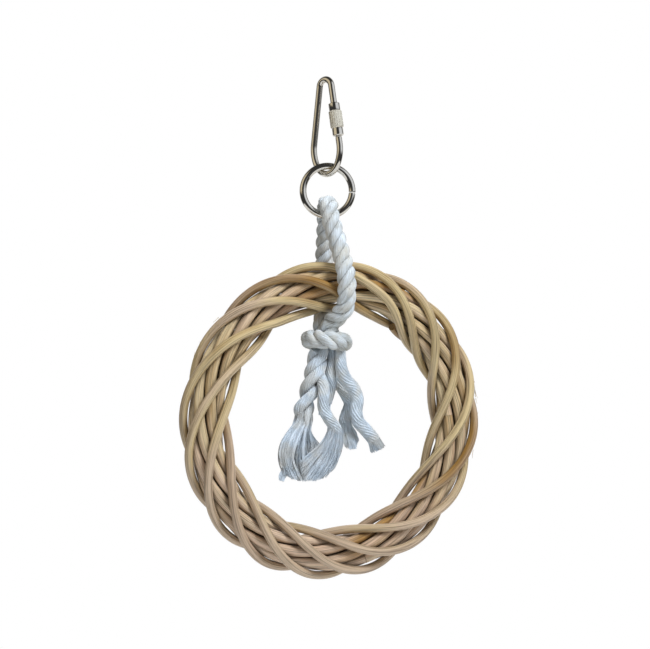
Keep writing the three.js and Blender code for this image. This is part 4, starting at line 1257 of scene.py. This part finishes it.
def quick_link_sleeve(grip_material, collar_material):
    """The sleeve nut is a revolved wall with straight flutes round its middle."""
    half = SLEEVE_LENGTH / 2
    grip = half - SLEEVE_COLLAR_LENGTH
    collar = SLEEVE_COLLAR_DIAMETER / 2
    bore = LINK_WIRE / 2 + SLEEVE_CLEARANCE
    full = SLEEVE_GRIP_DIAMETER / 2
    # Height, radius and depth of the flutes
    outside = [
        (-half, bore + SLEEVE_EDGE, 0),
        (-half, collar - SLEEVE_EDGE, 0),
        (-half + SLEEVE_EDGE, collar, 0),
        (-grip - SLEEVE_EDGE, collar, 0),
        (-grip, collar - SLEEVE_EDGE / 2, 0),
        (-grip, full - SLEEVE_EDGE, FLUTE_AT_EDGE),
        (-grip + SLEEVE_EDGE, full, 1),
    ]
    profile = outside + [(-z, r, f) for z, r, f in reversed(outside)]
    profile += [(half - SLEEVE_EDGE, bore, 0), (-half + SLEEVE_EDGE, bore, 0)]
    count = FLUTES * FLUTE_POINTS
    points = []
    for z, radius, fluted in profile:
        for k in range(count):
            turn = 2 * math.pi * k / count
            dip = FLUTE_DEPTH * fluted * (0.5 - 0.5 * math.cos(FLUTES * turn)) ** 2
            points.append(Vector(((radius - dip) * math.cos(turn), (radius - dip) * math.sin(turn), z)))
    faces = []
    finishes = []
    for row in range(len(profile)):
        for k in range(count):
            a = row * count + k
            b = row * count + (k + 1) % count
            faces.append((a, b, (b + count) % len(points), (a + count) % len(points)))
            finishes.append(0 if KNURLED_ROWS[0] <= row <= KNURLED_ROWS[1] else 1)
    lean, top, down = link_legs()[3:]
    middle = top + down * (SLEEVE_BELOW_CROWN + half)
    stand = (Matrix.Rotation(math.radians(LINK_YAW), 4, "Z") @ Matrix.Translation(middle)
             @ Matrix.Rotation(math.radians(-lean), 4, "Y"))
    mesh = bpy.data.meshes.new("quick_link_nut")
    mesh.from_pydata([stand @ point for point in points], [], faces)
    mesh.materials.append(grip_material)
    mesh.materials.append(collar_material)
    mesh.polygons.foreach_set("material_index", finishes)
    mesh.shade_smooth()
    mesh.set_sharp_from_angle(angle=math.radians(SLEEVE_SHARP_ANGLE))
    sleeve = bpy.data.objects.new("quick_link_nut", mesh)
    bpy.context.scene.collection.objects.link(sleeve)
    settle(sleeve, "sleeve", "nickel_plated_steel", "quick_link_sleeve")


def steel_ring(material):
    """A ring bent from wire, with a fine gap where its two ends butt."""
    radius = (RING_DIAMETER - RING_WIRE) / 2
    half_gap = math.degrees(RING_BUTT_GAP / 2 / radius)
    points = arc(Vector((0, 0, LEVEL_RING)), radius, RING_BUTT_ANGLE + half_gap,
                 RING_BUTT_ANGLE + 360 - half_gap, RING_ARC_STEP)
    route = turned(points, RING_YAW)
    radii = [RING_WIRE / 2] * len(route)
    radii[0] = radii[-1] = RING_WIRE / 2 * RING_BUTT_EDGE
    ring = swept_piece("steel_ring_wire", [sweep_path(route, radii)], material, WIRE_SIDES)
    settle(ring, "ring", "nickel_plated_steel", "steel_ring")


place_camera()
lay_floor()
light_world()
hang_soft_boxes()
bpy.context.scene.view_settings.view_transform = "Standard"

SWEEP = sweep_tree()
COTTON = cotton("undyed_cotton_rope", "#E6EFF6", "#ACADA7", "#D9D5C9", fuzz=0.6, crevice_shade=0.6)
STRAND_COTTON = cotton("opened_cotton_strand", "#E8F4FF", "#A9B3BB", "#D6D2C8", fuzz=0.9, crevice_shade=0.6)
FRAYED_COTTON = cotton("frayed_cotton_fibres", "#EBF4FC", "#BAC6D0", "#D9D6CE", fuzz=0.9, crevice_shade=0)
NICKEL = nickel("bright_nickel_plate", "#D2CEC6", roughness=0.1)
KNURL = nickel("knurled_nickel_plate", "#DED8C8", roughness=0.5, metallic=0.5)
OUTER_RATTAN = rattan("peeled_rattan_cane", "#D2BB8C", "#987238", "#C8AF95", "#3E2812")
INNER_RATTAN = rattan("inner_rattan_cane", "#E0C99E", "#AC8246", "#DCBFA4", "#382410")
# The core's colours are painted darker than the other canes', as shade: it shows only deep in the gaps of the
# winding
CORE_RATTAN = rattan("core_rattan_cane", "#907654", "#775C38", "#785C44", "#402E1C")

frayed_ends(loose_strands(STRAND_COTTON), FRAYED_COTTON)
rope_loop(COTTON)
rope_knot(COTTON)
rattan_ring(OUTER_RATTAN, INNER_RATTAN, CORE_RATTAN, cut_cane())
quick_link_body(NICKEL)
quick_link_sleeve(KNURL, NICKEL)
steel_ring(NICKEL)
